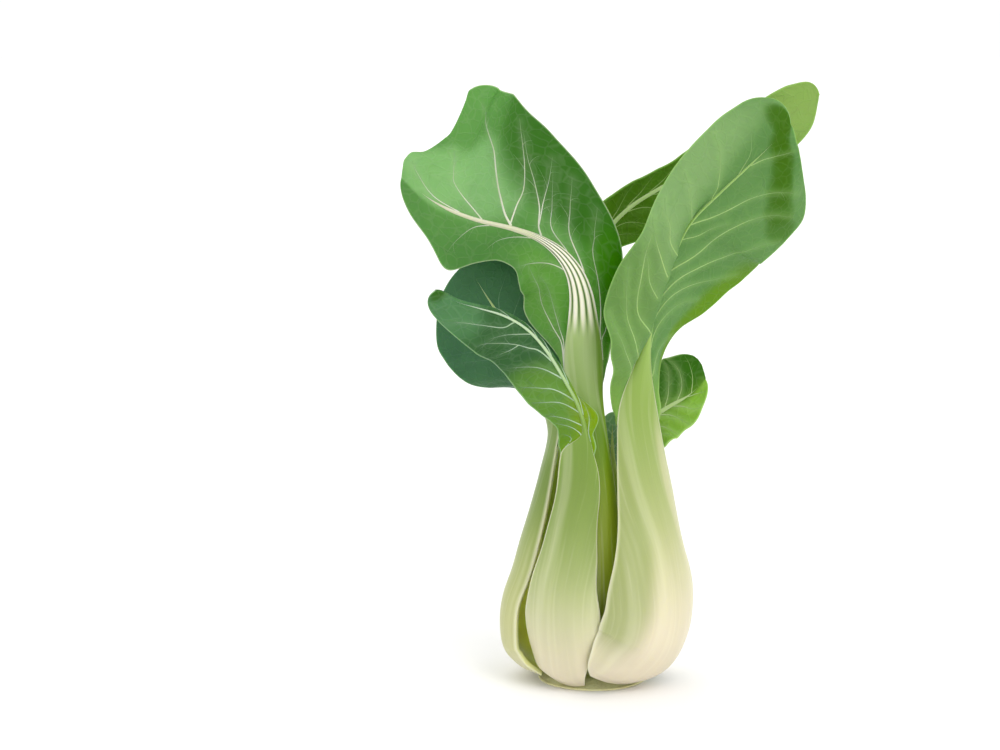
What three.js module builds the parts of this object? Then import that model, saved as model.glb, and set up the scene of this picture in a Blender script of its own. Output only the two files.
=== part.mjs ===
// A head of baby bok choy that stands on its trimmed root end.
// Millimetres, +Z up. The origin is the middle of the cut face that the head stands on, and -Y is the front.
// A leaf is a pale stalk, which runs on as the midrib, and a green blade that grows from the stalk's two edges
// and closes past the midrib's end. Its shape is given along a midline that lies on its outer face.
import * as THREE from "three";

const CUT_RADIUS = 18.6; // the cut face at the root end
const BLADE_THICKNESS = 0.9;
const MARGIN_THICKNESS = 0.7;
const STALK_EDGE = 1.1; // thickness of a stalk at its two edges
const RIB_SWELL = 0.35; // share of its thickness by which a midrib stands out of the blade
const SWELL_RUN = 0.1; // share of the length over which the midrib starts to stand out
const JOINT_GAP = 0.3; // between a stalk's edge and the blade that grows from it
const SLIT_END = 0.01; // share of the length over which the blade closes past the midrib
const FIRST_STRIP = 1.2; // least width of a half of the blade beside the stalk

const FOOT_ROWS = 11; // rows of a stalk below its blade, closer towards the root end
const FOOT_CLOSING = 1.35;
const STALK_COLUMNS = 8;
const BLADE_ROWS = 16;
const TIP_ROWS = 5;
const BLADE_COLUMNS = 5; // on each side of the midrib
const SECTION_STEPS = 24;
const ROOT_SIDES = 24;

const LEAN_SHARE = 0.25; // share of a half of the blade over which it leans away from the stalk
const ROLL_START = 0.65; // share of a half of the blade where its margin starts to roll

const stalkGreen = new THREE.MeshStandardMaterial({ color: 0xd3dca4, roughness: 0.38, metalness: 0 });
const bladeGreen = new THREE.MeshStandardMaterial({ color: 0x4f8a2f, roughness: 0.5, metalness: 0 });
const rootCream = new THREE.MeshStandardMaterial({ color: 0xc9cf8e, roughness: 0.6, metalness: 0 });

const LEVEL = [
  [0, 0],
  [1, 0],
];

const radians = THREE.MathUtils.degToRad;
const smooth = (x) => THREE.MathUtils.smoothstep(x, 0, 1);

// A value that runs smoothly through [share of the length, value] marks and never overshoots them.
function track(marks) {
  const steps = marks.slice(1).map((mark, i) => (mark[1] - marks[i][1]) / (mark[0] - marks[i][0]));
  const slopes = marks.map((_, i) => {
    if (i === 0) return steps[0];
    if (i === steps.length) return steps[i - 1];
    const [before, after] = [steps[i - 1], steps[i]];
    return before * after <= 0 ? 0 : (2 * before * after) / (before + after);
  });
  return (v) => {
    if (v <= marks[0][0]) return marks[0][1];
    const i = marks.findIndex((mark) => v < mark[0]) - 1;
    if (i < 0) return marks[marks.length - 1][1];
    const span = marks[i + 1][0] - marks[i][0];
    const t = (v - marks[i][0]) / span;
    const [t2, t3] = [t * t, t * t * t];
    return (
      (2 * t3 - 3 * t2 + 1) * marks[i][1] +
      (t3 - 2 * t2 + t) * span * slopes[i] +
      (3 * t2 - 2 * t3) * marks[i + 1][1] +
      (t3 - t2) * span * slopes[i + 1]
    );
  };
}

// The skin over two grids of points, the outer face and the inner one. Rows run up the leaf and columns run
// from its left to its right. Both faces split each square along the same diagonal. walls: how many rows are
// closed along the left and along the right.
function skin(outer, inner, walls) {
  const corners = [];
  const quad = (a, b, c, d) => corners.push(a, b, c, a, c, d);
  const lastRow = outer.length - 1;
  const last = outer[0].length - 1;
  for (let j = 0; j < lastRow; j++) {
    for (let k = 0; k < last; k++) {
      quad(outer[j][k], outer[j][k + 1], outer[j + 1][k + 1], outer[j + 1][k]);
      corners.push(inner[j][k], inner[j + 1][k + 1], inner[j][k + 1]);
      corners.push(inner[j][k], inner[j + 1][k], inner[j + 1][k + 1]);
    }
    if (j < walls.left) quad(outer[j][0], outer[j + 1][0], inner[j + 1][0], inner[j][0]);
    if (j < walls.right) quad(inner[j][last], inner[j + 1][last], outer[j + 1][last], outer[j][last]);
  }
  for (let k = 0; k < last; k++) {
    quad(inner[0][k], inner[0][k + 1], outer[0][k + 1], outer[0][k]);
    quad(outer[lastRow][k], outer[lastRow][k + 1], inner[lastRow][k + 1], inner[lastRow][k]);
  }
  return corners;
}

// The left and the right value of [share, left, right] marks. A mark with one value holds for both sides.
const bothSides = (marks) => ({
  [-1]: track(marks.map(([share, left]) => [share, left])),
  [1]: track(marks.map(([share, left, right = left]) => [share, right])),
});

const steps = (from, to, count) => Array.from({ length: count + 1 }, (_, i) => from + ((to - from) * i) / count);

class Leaf {
  // spine: places on the outer face's midline. facing: [share, compass angle, climb] of the way the outer face
  // looks. stalk: [share, left half, right half] of its width. flesh: its thickness. cup: [share, left, right]
  // of the angle that its halves turn through.
  // left and right: a blade's half width and its lean, curl and roll, in degrees, where plus turns it inwards.
  constructor({ spine, facing, stalk, flesh, cup, starts, tip, rows = BLADE_ROWS, left, right, ripple }) {
    this.curve = new THREE.CatmullRomCurve3(spine.map((p) => new THREE.Vector3(...p)), false, "centripetal");
    this.azimuth = track(facing.map(([share, angle]) => [share, angle]));
    this.climb = track(facing.map(([share, , angle]) => [share, angle]));
    this.stalkHalf = bothSides(stalk);
    this.flesh = track(flesh);
    this.cup = bothSides(cup);
    this.starts = starts;
    this.ribEnd = stalk[stalk.length - 1][0];
    this.tip = tip;
    this.sides = { [-1]: this.readSide(left), [1]: this.readSide(right) };
    this.ripple = ripple;
    this.ribRows = Math.round(((this.ribEnd - starts) / (tip - starts)) * (rows - TIP_ROWS));
    this.upperRows = Math.max(2, rows - TIP_ROWS - this.ribRows - 1);
  }

  readSide({ half, lean = LEVEL, curl, roll = LEVEL, blunt = 0, phase = 0 }) {
    return { half: track(half), lean: track(lean), curl: track(curl), roll: track(roll), blunt, phase };
  }

  // The midline's place, and the directions out of the outer face and across the leaf.
  frame(v) {
    const place = this.curve.getPointAt(v);
    const along = this.curve.getTangentAt(v);
    const azimuth = radians(this.azimuth(v));
    const climb = radians(this.climb(v));
    const looks = new THREE.Vector3(
      Math.cos(azimuth) * Math.cos(climb),
      Math.sin(azimuth) * Math.cos(climb),
      Math.sin(climb),
    );
    const across = new THREE.Vector3().crossVectors(along, looks).normalize();
    const out = new THREE.Vector3().crossVectors(across, along);
    return { place, across, out };
  }

  stalkWidth(v, side) {
    return v > this.ribEnd + 1e-9 ? 0 : this.stalkHalf[side](v);
  }

  // Half the blade's width on one side, from the midline to its margin. The tip is rounded, and a blunt one
  // keeps that share of its width.
  bladeHalf(v, side) {
    if (v < this.starts) return this.stalkWidth(v, side);
    const past = Math.max(0, (v - this.tip) / (1 - this.tip));
    const rounding = Math.sqrt(Math.max(0, 1 - (1 - this.sides[side].blunt ** 2) * past * past));
    const least = this.stalkWidth(v, side) + JOINT_GAP + FIRST_STRIP;
    return Math.max(this.sides[side].half(v) * rounding, least);
  }

  // The angle that the section has turned through at a distance from the midline.
  turn(v, side, distance) {
    const stalkHalf = this.stalkWidth(v, side);
    const cup = radians(this.cup[side](v));
    if (distance <= stalkHalf) return (cup * distance) / Math.max(stalkHalf, 1e-6);
    const { lean, curl, roll } = this.sides[side];
    const share = (distance - stalkHalf) / Math.max(this.bladeHalf(v, side) - stalkHalf, 1e-6);
    return (
      cup +
      radians(lean(v)) * smooth(share / LEAN_SHARE) +
      radians(curl(v)) * share +
      radians(roll(v)) * smooth((share - ROLL_START) / (1 - ROLL_START))
    );
  }

  // The outer and inner points of one side of a row, at distances from the midline.
  section(v, side, distances, depthAt, swellAt) {
    const { place, across, out } = this.frame(v);
    const step = Math.max(distances[distances.length - 1], 1e-6) / SECTION_STEPS;
    const lateral = [0];
    const inward = [0];
    for (let i = 0; i < SECTION_STEPS; i++) {
      const angle = this.turn(v, side, (i + 0.5) * step);
      lateral.push(lateral[i] + Math.cos(angle) * step);
      inward.push(inward[i] + Math.sin(angle) * step);
    }
    return distances.map((distance) => {
      const i = Math.min(SECTION_STEPS - 1, Math.floor(distance / step));
      const [x, y] = [lateral, inward].map((sum) => sum[i] + (sum[i + 1] - sum[i]) * (distance / step - i));
      const angle = this.turn(v, side, distance);
      const normal = out.clone().multiplyScalar(Math.cos(angle)).addScaledVector(across, side * Math.sin(angle));
      const outer = place.clone().addScaledVector(across, side * x).addScaledVector(out, -y);
      outer.addScaledVector(normal, swellAt(distance));
      return { outer, inner: outer.clone().addScaledVector(normal, -depthAt(distance)) };
    });
  }

  // Rows of a stalk below the blade, then the ones that it shares with the blade.
  ribShares() {
    return steps(this.starts, this.ribEnd, this.ribRows);
  }

  stalkSolid() {
    const outer = [];
    const inner = [];
    const foot = steps(0, 1, FOOT_ROWS).map((t) => this.starts * t ** FOOT_CLOSING);
    const shares = [...foot.slice(0, -1), ...this.ribShares()];
    for (const v of shares) {
      const flesh = this.flesh(v);
      const edge = Math.min(STALK_EDGE, flesh);
      const swell = smooth((v - this.starts) / SWELL_RUN) * RIB_SWELL * flesh;
      const [left, right] = [-1, 1].map((side) => {
        const half = this.stalkHalf[side](v);
        const round = (distance) => 1 - Math.min(1, distance / half) ** 2;
        const depthAt = (distance) => edge + (flesh - edge) * round(distance);
        return this.section(v, side, steps(0, half, STALK_COLUMNS / 2), depthAt, (at) => swell * round(at));
      });
      const points = [...left.reverse(), ...right.slice(1)];
      outer.push(points.map((p) => p.outer));
      inner.push(points.map((p) => p.inner));
    }
    return skin(outer, inner, { left: shares.length, right: shares.length });
  }

  bladeSolid() {
    const beside = this.ribShares();
    const upper = steps(this.ribEnd + SLIT_END, this.tip, this.upperRows);
    const round = steps(0, 1, TIP_ROWS).slice(1);
    const shares = [...beside, ...upper, ...round.map((t) => this.tip + (1 - this.tip) * Math.sin((Math.PI / 2) * t))];
    const halves = [-1, 1].map((side) => {
      const rows = shares.map((v, j) => {
        const reach = this.bladeHalf(v, side);
        const from = j < beside.length ? this.stalkHalf[side](v) + JOINT_GAP : 0;
        const share = (distance) => Math.min(1, distance / reach);
        const depthAt = (distance) => THREE.MathUtils.lerp(BLADE_THICKNESS, MARGIN_THICKNESS, share(distance));
        const wave = Math.sin(2 * Math.PI * (this.ripple.waves * v + this.sides[side].phase));
        const swellAt = (distance) => this.ripple.height * share(distance) ** 2 * wave;
        const row = this.section(v, side, steps(from, reach, BLADE_COLUMNS), depthAt, swellAt);
        return side < 0 ? row.reverse() : row;
      });
      return [rows.map((row) => row.map((p) => p.outer)), rows.map((row) => row.map((p) => p.inner))];
    });
    const all = shares.length;
    const slit = beside.length;
    return [
      ...skin(...halves[0], { left: all, right: slit }),
      ...skin(...halves[1], { left: slit, right: all }),
    ];
  }
}

const ROOT_PROFILE = [
  [0, 0], [CUT_RADIUS - 0.3, 0], [CUT_RADIUS, 0.35], [CUT_RADIUS - 0.6, 0.7], [16.4, 0.9], [15.2, 3.4],
  [12.5, 3.7], [7.8, 4.1], [6.4, 6.6], [3.2, 8], [2.6, 13], [1.4, 20], [0, 22],
];

const LEAVES = {
  leaf_right: {
    spine: [
      [12, -12.8, 1.1], [18.6, -19, 4.9], [25.3, -22.2, 13.5], [28.3, -22.4, 25], [28, -21.5, 37],
      [25.8, -19.4, 50.8], [20.8, -16, 68], [17.6, -14, 82], [15.4, -12.5, 95.2], [16.3, -12.5, 111.1],
      [19.4, -13.5, 127.4], [24, -15, 141.7], [30.3, -16.5, 155.5], [38.8, -18, 164.6],
      [48.1, -20, 173.7],
      [57.1, -22, 182.8], [63.4, -24, 190.2],
    ],
    facing: [
      [0, -48, 0], [0.14, -42, 0], [0.25, -42, 0], [0.38, -55, 0], [0.5, -67, 0], [0.63, -67, 0],
      [0.72, -70, 0], [0.82, -78, -5], [1, -85, -10],
    ],
    stalk: [
      [0, 12, 8.5], [0.03, 18, 10.5], [0.06, 22.5, 14], [0.1, 26.5, 19.5], [0.15, 27.5, 25.5],
      [0.2, 25.5], [0.27, 20], [0.35, 13.8], [0.42, 10],
      [0.48, 7.5], [0.55, 3.6], [0.63, 2], [0.75, 1.4], [0.88, 0.9],
    ],
    flesh: [[0, 3], [0.1, 6], [0.2, 6.5], [0.35, 5.5], [0.48, 4], [0.55, 3], [0.63, 2.2], [0.88, 1.4]],
    cup: [
      [0, 34, 45], [0.06, 44, 58], [0.1, 56, 62], [0.15, 64], [0.27, 52], [0.35, 46], [0.42, 40],
      [0.48, 34], [0.55, 20], [0.63, 5],
    ],
    starts: 0.47,
    tip: 0.9,
    rows: 19,
    left: {
      half: [
        [0.47, 9.2], [0.5, 10.8], [0.54, 14.7], [0.57, 19.3], [0.61, 25], [0.64, 29.3],
        [0.68, 29.5], [0.71, 25.5], [0.75, 20], [0.78, 18.2], [0.82, 18.7], [0.89, 18.1],
        [0.94, 19], [0.97, 22], [1, 28],
      ],
      lean: [[0.47, -50], [0.55, -110], [0.68, -115], [0.8, -65], [0.9, -15], [1, 0]],
      curl: [[0.47, 50], [0.55, 120], [0.68, 125], [0.8, 75], [1, 25]],
    },
    right: {
      half: [
        [0.47, 8], [0.5, 7.4], [0.54, 9], [0.57, 10.8], [0.61, 14.4], [0.64, 20.7], [0.68, 26.5],
        [0.71, 30.7], [0.75, 33.3], [0.82, 32.4], [0.885, 32.5], [0.92, 27], [0.94, 20], [0.97, 11],
        [1, 8],
      ],
      curl: [[0.47, 10], [0.7, 20], [1, 30]],
      phase: 0.3,
    },
    ripple: { height: 1, waves: 6 },
  },
  leaf_front: {
    spine: [
      [-7.6, -15.7, 1.1], [-9.9, -20.8, 5], [-11.5, -24.3, 13.8], [-12.5, -25.6, 25],
      [-11.9, -24.5, 36],
      [-9.6, -22.5, 46], [-7.3, -20.8, 56], [-4.2, -19.6, 68], [-3, -19.5, 78], [-3.4, -20, 87.4],
      [-5.9, -22, 96.6], [-11.4, -25.5, 107.3], [-16.8, -29, 116.2], [-22.8, -32.5, 123.1],
      [-29.9, -36, 127.7], [-38.2, -39.5, 130.6], [-44.8, -42, 132.8], [-50.1, -44, 135.9],
    ],
    facing: [
      [0, -116, 0], [0.2, -112, 0], [0.37, -106, 0], [0.5, -92, 0], [0.58, -92, 0], [0.7, -98, -5],
      [0.85, -103, -8], [1, -108, -10],
    ],
    stalk: [
      [0, 8], [0.04, 11.6, 10.5], [0.07, 13.2, 12.2], [0.1, 14.2, 13.5], [0.17, 15.3], [0.24, 13.2],
      [0.3, 11.4], [0.37, 10.2, 9.2],
      [0.44, 9.6, 7], [0.5, 8.8, 4], [0.53, 7, 2.6], [0.57, 3.4, 1.8], [0.62, 1.6, 1.3],
      [0.75, 1.1], [0.85, 0.8],
    ],
    flesh: [[0, 3], [0.1, 5], [0.2, 5.5], [0.44, 4.5], [0.51, 3.6], [0.6, 2], [0.75, 1.5], [0.85, 1.3]],
    cup: [[0, 26], [0.1, 45], [0.17, 46], [0.38, 45], [0.44, 36], [0.51, 20], [0.57, 10], [0.65, 0]],
    starts: 0.5,
    tip: 0.9,
    rows: 19,
    left: {
      half: [
        [0.5, 10.3], [0.53, 9], [0.56, 8.8], [0.6, 11.8], [0.63, 13.3], [0.69, 15.9], [0.73, 17.1],
        [0.79, 17.6], [0.86, 16.7], [0.89, 15.4], [0.92, 14], [0.96, 13], [1, 15],
      ],
      curl: [[0.5, 10], [1, 20]],
    },
    right: {
      half: [[0.5, 5], [0.56, 6.5], [0.62, 8], [0.9, 8], [1, 6]],
      lean: [[0.5, -10], [0.56, 10], [0.64, 75], [0.75, 88], [0.9, 88], [1, 80]],
      curl: [[0.5, -10], [0.62, 0], [0.75, 40], [1, 30]],
    },
    ripple: { height: 0.6, waves: 5 },
  },
  leaf_left: {
    spine: [
      [-17.4, 0.6, 1.1], [-24.5, 1.2, 3.9], [-29.8, 2, 9.5], [-31.4, 2.2, 19], [-30.4, 2.2, 28],
      [-27.2, 2.2, 37.6], [-24.5, 2, 47.6], [-21.8, 2, 56.5], [-18, 1.5, 70.7], [-15.2, 1, 85],
      [-17.9, 1, 100], [-24.6, 2, 112.6], [-32.3, 4, 124.4], [-38.7, 6, 134.3], [-42, 8, 140.8],
    ],
    facing: [
      [0, 178, 0], [0.56, 180, 0], [0.67, 222, 0], [0.76, 245, 0], [0.88, 255, -5], [1, 258, -10],
    ],
    stalk: [
      [0, 9, 12], [0.03, 12, 15.5], [0.06, 15.5, 16.5], [0.1, 19, 16], [0.16, 21, 16],
      [0.22, 20, 15], [0.35, 16.5, 14.5], [0.41, 13.5, 13],
      [0.5, 10], [0.6, 7], [0.65, 4.5], [0.72, 2], [0.8, 0.9],
    ],
    flesh: [[0, 3], [0.1, 5], [0.3, 5], [0.5, 4.5], [0.6, 3.5], [0.7, 2], [0.88, 1.3]],
    cup: [
      [0, 30], [0.1, 58, 45], [0.22, 60, 44], [0.35, 55, 50], [0.5, 49], [0.6, 45], [0.7, 15],
      [0.78, 0],
    ],
    starts: 0.58,
    tip: 0.87,
    left: {
      half: [
        [0.58, 9], [0.64, 11.5], [0.7, 18], [0.75, 24], [0.8, 26], [0.87, 26], [0.94, 24], [1, 20],
      ],
      curl: [[0.5, 20], [1, 10]],
    },
    right: {
      half: [[0.58, 9], [0.64, 8], [0.7, 10], [0.78, 14], [0.87, 17], [1, 15]],
      curl: [[0.5, 20], [1, 10]],
    },
    ripple: { height: 0.8, waves: 5 },
  },
  leaf_tall: {
    spine: [
      [2.5, -9.4, 4.4], [4.5, -15, 9], [5, -18, 17], [4.6, -18.5, 28], [4.2, -17, 45], [3.5, -15, 62],
      [1.1, -12.8, 80], [-1.9, -11.4, 96], [-3.6, -10.8, 109.9], [-4, -10.5, 123.4], [-4.7, -10.3, 132],
      [-7, -10.3, 139.2], [-11.7, -10.2, 145.5], [-18.2, -10.2, 150.1], [-26.7, -10, 153.3],
      [-40.1, -9.5, 156.6], [-51.6, -9, 161.4], [-61.6, -9, 168.6],
    ],
    facing: [[0, -75, 0], [0.3, -80, 0], [0.5, -88, 0], [0.65, -90, 0], [0.8, -90, 10], [1, -90, 14]],
    stalk: [
      [0, 6], [0.08, 10], [0.13, 12], [0.22, 12], [0.3, 11], [0.39, 9.5], [0.47, 8], [0.54, 7],
      [0.61, 5], [0.65, 3.8], [0.69, 2.7], [0.73, 1.9], [0.8, 1.5], [0.9, 1.2],
    ],
    flesh: [[0, 2.5], [0.08, 4.5], [0.13, 5], [0.3, 5], [0.47, 4], [0.61, 3], [0.7, 2.2], [0.9, 1.4]],
    cup: [[0, 35], [0.13, 45], [0.3, 45], [0.47, 38], [0.54, 30], [0.61, 25], [0.68, 10], [0.75, 0]],
    starts: 0.5,
    tip: 0.93,
    rows: 23,
    left: {
      half: [
        [0.5, 8.2], [0.53, 8.2], [0.56, 11.6], [0.6, 18.8], [0.63, 21.1], [0.69, 19.4],
        [0.73, 18.6], [0.76, 16.3], [0.79, 12.9], [0.82, 12.5], [0.86, 14.6], [0.89, 19.5],
        [0.92, 13.7], [0.94, 11], [1, 9],
      ],
      lean: [[0.5, 0], [0.68, 0], [0.75, 15], [0.82, 20], [1, 20]],
      curl: [[0.5, 15], [1, 10]],
    },
    right: {
      half: [
        [0.5, 7.6], [0.53, 8], [0.56, 8.4], [0.6, 9.8], [0.63, 11.2], [0.66, 14.9], [0.69, 18.2],
        [0.73, 22.2], [0.76, 27.6], [0.79, 33.2], [0.82, 37.8], [0.86, 44], [0.89, 45.4],
        [0.92, 46], [0.96, 47], [0.986, 46], [0.9966, 30], [1, 18],
      ],
      curl: [[0.5, 10], [1, 15]],
      blunt: 0.9,
      phase: 0.3,
    },
    ripple: { height: 1.2, waves: 7 },
  },
  leaf_back_right: {
    spine: [
      [3.8, 8.2, 4.4], [7.5, 14.5, 9], [9, 18.5, 18], [8.5, 19, 32], [6, 17, 52], [2, 15.5, 74],
      [-1.9, 17, 95.8], [-2.2, 20, 111.6], [-0.5, 23, 126.4], [3.7, 28, 146.6], [11.7, 31, 156.3],
      [23.9, 34, 164], [37.8, 37, 171.1], [53.7, 41, 179.5], [67.9, 45, 187.7], [77.5, 48, 193.8],
    ],
    facing: [[0, 65, 0], [0.4, 80, 0], [0.6, 95, 0], [0.8, 100, -10], [1, 105, -15]],
    stalk: [
      [0, 6], [0.08, 9.5], [0.14, 10.5], [0.22, 9.5], [0.32, 7], [0.41, 5], [0.5, 4], [0.56, 2.5],
      [0.62, 1.6], [0.8, 1.1], [0.9, 0.8],
    ],
    flesh: [[0, 2.5], [0.1, 4.5], [0.3, 4], [0.5, 3], [0.62, 2], [0.9, 1.3]],
    cup: [[0, 35], [0.14, 45], [0.4, 42], [0.5, 35], [0.6, 5]],
    starts: 0.52,
    tip: 0.93,
    left: {
      half: [
        [0.52, 5.5], [0.61, 5.5], [0.64, 8.8], [0.67, 11.6], [0.7, 13.3], [0.74, 14.7],
        [0.83, 14.1], [0.89, 12.2], [0.94, 11], [1, 10],
      ],
      curl: [[0.5, 20], [1, 20]],
    },
    right: {
      half: [
        [0.52, 6], [0.6, 8.6], [0.64, 9], [0.67, 7.6], [0.7, 7.3], [0.77, 6.6], [0.8, 7.6],
        [0.86, 9.8], [0.92, 10.1], [0.955, 11], [1, 15],
      ],
      curl: [[0.5, 20], [1, 20]],
    },
    ripple: { height: 0.6, waves: 5 },
  },
  leaf_small_right: {
    spine: [
      [13.7, 10.7, 1.1], [18.3, 14.3, 4], [22, 17.2, 11], [23.2, 17.6, 22], [21.8, 16, 36],
      [18.8, 12.5, 52],
      [16, 8.8, 68], [16.4, 6.6, 79.9], [20.4, 7, 88.1], [26.1, 7.5, 92.1], [32.6, 8.5, 95.7],
      [38.1, 10, 101],
    ],
    facing: [[0, 38, 0], [0.5, 38, 0], [0.7, 60, 0], [0.85, 90, -10], [1, 100, -15]],
    stalk: [
      [0, 8.5], [0.06, 11], [0.13, 13], [0.22, 13.4], [0.34, 12], [0.48, 9], [0.63, 6], [0.73, 4],
      [0.79, 2.1], [0.83, 1.3], [0.87, 0.9],
    ],
    flesh: [[0, 3], [0.13, 5], [0.34, 5], [0.63, 3.5], [0.73, 2.8], [0.8, 2], [0.87, 1.3]],
    cup: [[0, 30], [0.13, 45], [0.34, 44], [0.63, 40], [0.75, 25], [0.85, 0]],
    starts: 0.7,
    tip: 0.92,
    left: {
      half: [
        [0.7, 6], [0.72, 6.2], [0.735, 9.2], [0.75, 11.8], [0.8, 11.4], [0.84, 10.7], [0.87, 9.6],
        [0.9, 9.4], [0.92, 8.4], [0.94, 6.4], [1, 5],
      ],
      curl: [[0.5, 20], [1, 20]],
    },
    right: {
      half: [
        [0.7, 7], [0.75, 11], [0.8, 13.5], [0.85, 14.5], [0.9, 15], [0.94, 16], [0.97, 18], [1, 25],
      ],
      curl: [[0.5, 20], [1, 20]],
    },
    ripple: { height: 0.6, waves: 6 },
  },
  leaf_back_left: {
    spine: [
      [-6.6, 16.2, 1.1], [-9.2, 22, 4.5], [-11.4, 27.2, 12], [-12.2, 29, 23], [-11.3, 27, 38],
      [-9.5, 23.5, 56],
      [-8.2, 22, 73.8], [-9.2, 24, 93.4], [-11.9, 30, 115.2], [-17, 38, 137.4], [-22.2, 46, 155.3],
      [-26.7, 53, 169.9],
    ],
    facing: [[0, 112, 0], [0.4, 112, 0], [0.7, 115, -10], [1, 118, -20]],
    stalk: [
      [0, 9, 8.5], [0.04, 12, 8.5], [0.09, 15, 8.5], [0.15, 15.5, 9], [0.23, 14.5, 10],
      [0.34, 11, 10], [0.44, 8], [0.55, 6],
      [0.62, 4], [0.7, 2.2], [0.78, 1.2],
    ],
    flesh: [[0, 3], [0.1, 5.5], [0.3, 5], [0.5, 4], [0.62, 2.5], [0.88, 1.4]],
    cup: [[0, 30, 28], [0.1, 44, 25], [0.23, 44, 28], [0.44, 40, 38], [0.55, 35], [0.7, 10], [0.78, 0]],
    starts: 0.52,
    tip: 0.85,
    left: {
      half: [[0.52, 7.5], [0.58, 8.5], [0.62, 12], [0.75, 24], [0.9, 25], [1, 20]],
      curl: [[0.5, 20], [1, 20]],
    },
    right: {
      half: [[0.52, 9], [0.62, 18], [0.75, 25], [0.9, 25], [1, 20]],
      curl: [[0.5, 20], [1, 20]],
      phase: 0.4,
    },
    ripple: { height: 1.2, waves: 5 },
  },
  heart_front: {
    spine: [
      [5.2, -1.6, 8.8], [7.6, -2.6, 16], [9, -3.4, 34], [8.2, -3.6, 55], [7, -3.6, 70],
      [7, -3.8, 80], [8, -4.4, 88],
    ],
    facing: [[0, -17, 0], [1, -35, 0]],
    stalk: [[0, 3], [0.15, 5.5], [0.3, 6], [0.5, 5], [0.7, 3], [0.77, 1.6], [0.83, 0.9]],
    flesh: [[0, 2], [0.3, 3], [0.7, 2.2], [0.83, 1.4]],
    cup: [[0, 30], [0.3, 40], [0.7, 30], [0.83, 0]],
    starts: 0.62,
    tip: 0.88,
    rows: 11,
    left: { half: [[0.62, 4.5], [0.8, 5], [1, 4]], curl: [[0.5, 30], [1, 20]] },
    right: { half: [[0.62, 5], [0.8, 6], [1, 5]], curl: [[0.5, 30], [1, 20]] },
    ripple: { height: 0.6, waves: 6 },
  },
  heart_left: {
    spine: [
      [-5.2, 0.8, 8.8], [-7.8, 1.6, 16], [-8.5, 2.5, 34], [-6.5, 3, 52], [-5.5, 3.5, 66],
      [-6.4, 4, 78],
    ],
    facing: [[0, 172, 0], [1, 150, 0]],
    stalk: [[0, 3], [0.15, 5.5], [0.3, 6], [0.5, 5], [0.7, 3], [0.77, 1.6], [0.83, 0.9]],
    flesh: [[0, 2], [0.3, 3], [0.7, 2.2], [0.83, 1.4]],
    cup: [[0, 30], [0.3, 40], [0.7, 30], [0.83, 0]],
    starts: 0.6,
    tip: 0.88,
    rows: 11,
    left: { half: [[0.6, 4.5], [0.8, 5], [1, 4]], curl: [[0.5, 40], [1, 30]] },
    right: { half: [[0.6, 4.5], [0.8, 5.5], [1, 5]], curl: [[0.5, 30], [1, 20]] },
    ripple: { height: 0.5, waves: 6 },
  },
  heart_back: {
    spine: [[2, 4.9, 8.8], [3.3, 7, 16], [4.2, 7.6, 32], [3.8, 6.4, 48], [3.2, 5.2, 60], [3, 5, 68]],
    facing: [[0, 64, 0], [1, 62, 0]],
    stalk: [[0, 3], [0.15, 5], [0.3, 5.5], [0.5, 4.5], [0.7, 2.6], [0.77, 1.5], [0.83, 0.9]],
    flesh: [[0, 2], [0.3, 3], [0.7, 2.2], [0.83, 1.4]],
    cup: [[0, 30], [0.3, 40], [0.7, 30], [0.83, 0]],
    starts: 0.6,
    tip: 0.88,
    rows: 11,
    left: { half: [[0.6, 5], [0.8, 6], [1, 5]], curl: [[0.5, 40], [1, 30]] },
    right: { half: [[0.6, 4.5], [0.8, 4.5], [1, 4]], curl: [[0.5, 20], [1, 10]] },
    ripple: { height: 0.4, waves: 6 },
  },
};

function meshOf(name, geometry, material) {
  const mesh = new THREE.Mesh(geometry, material);
  mesh.name = name;
  return mesh;
}

function solidOf(name, corners, material) {
  const geometry = new THREE.BufferGeometry().setFromPoints(corners);
  geometry.computeVertexNormals();
  return meshOf(name, geometry, material);
}

// The short stem: a cut disc that steps up to the middle, where the inner leaves spring from it.
function rootEnd() {
  const profile = ROOT_PROFILE.map(([radius, height]) => new THREE.Vector2(radius, height));
  return meshOf("root_end", new THREE.LatheGeometry(profile, ROOT_SIDES).rotateX(Math.PI / 2), rootCream);
}

const head = new THREE.Group();
head.add(rootEnd());
for (const [name, shape] of Object.entries(LEAVES)) {
  const leaf = new Leaf(shape);
  head.add(solidOf(name + "_stalk", leaf.stalkSolid(), stalkGreen));
  head.add(solidOf(name + "_blade", leaf.bladeSolid(), bladeGreen));
}

export default head;
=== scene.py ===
"""Looks for a head of baby bok choy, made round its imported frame.

Each leaf is drawn again on a fine grid from the same midline, widths and turns as its solids, and is
parted into a stalk, which runs on as the midrib, and a blade. The veins are beads that follow the blade.
Blender's objects are in metres, and the leaf tables are in millimetres.
"""

import logging
from collections.abc import Sequence
from dataclasses import dataclass, field
from enum import Enum

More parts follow.
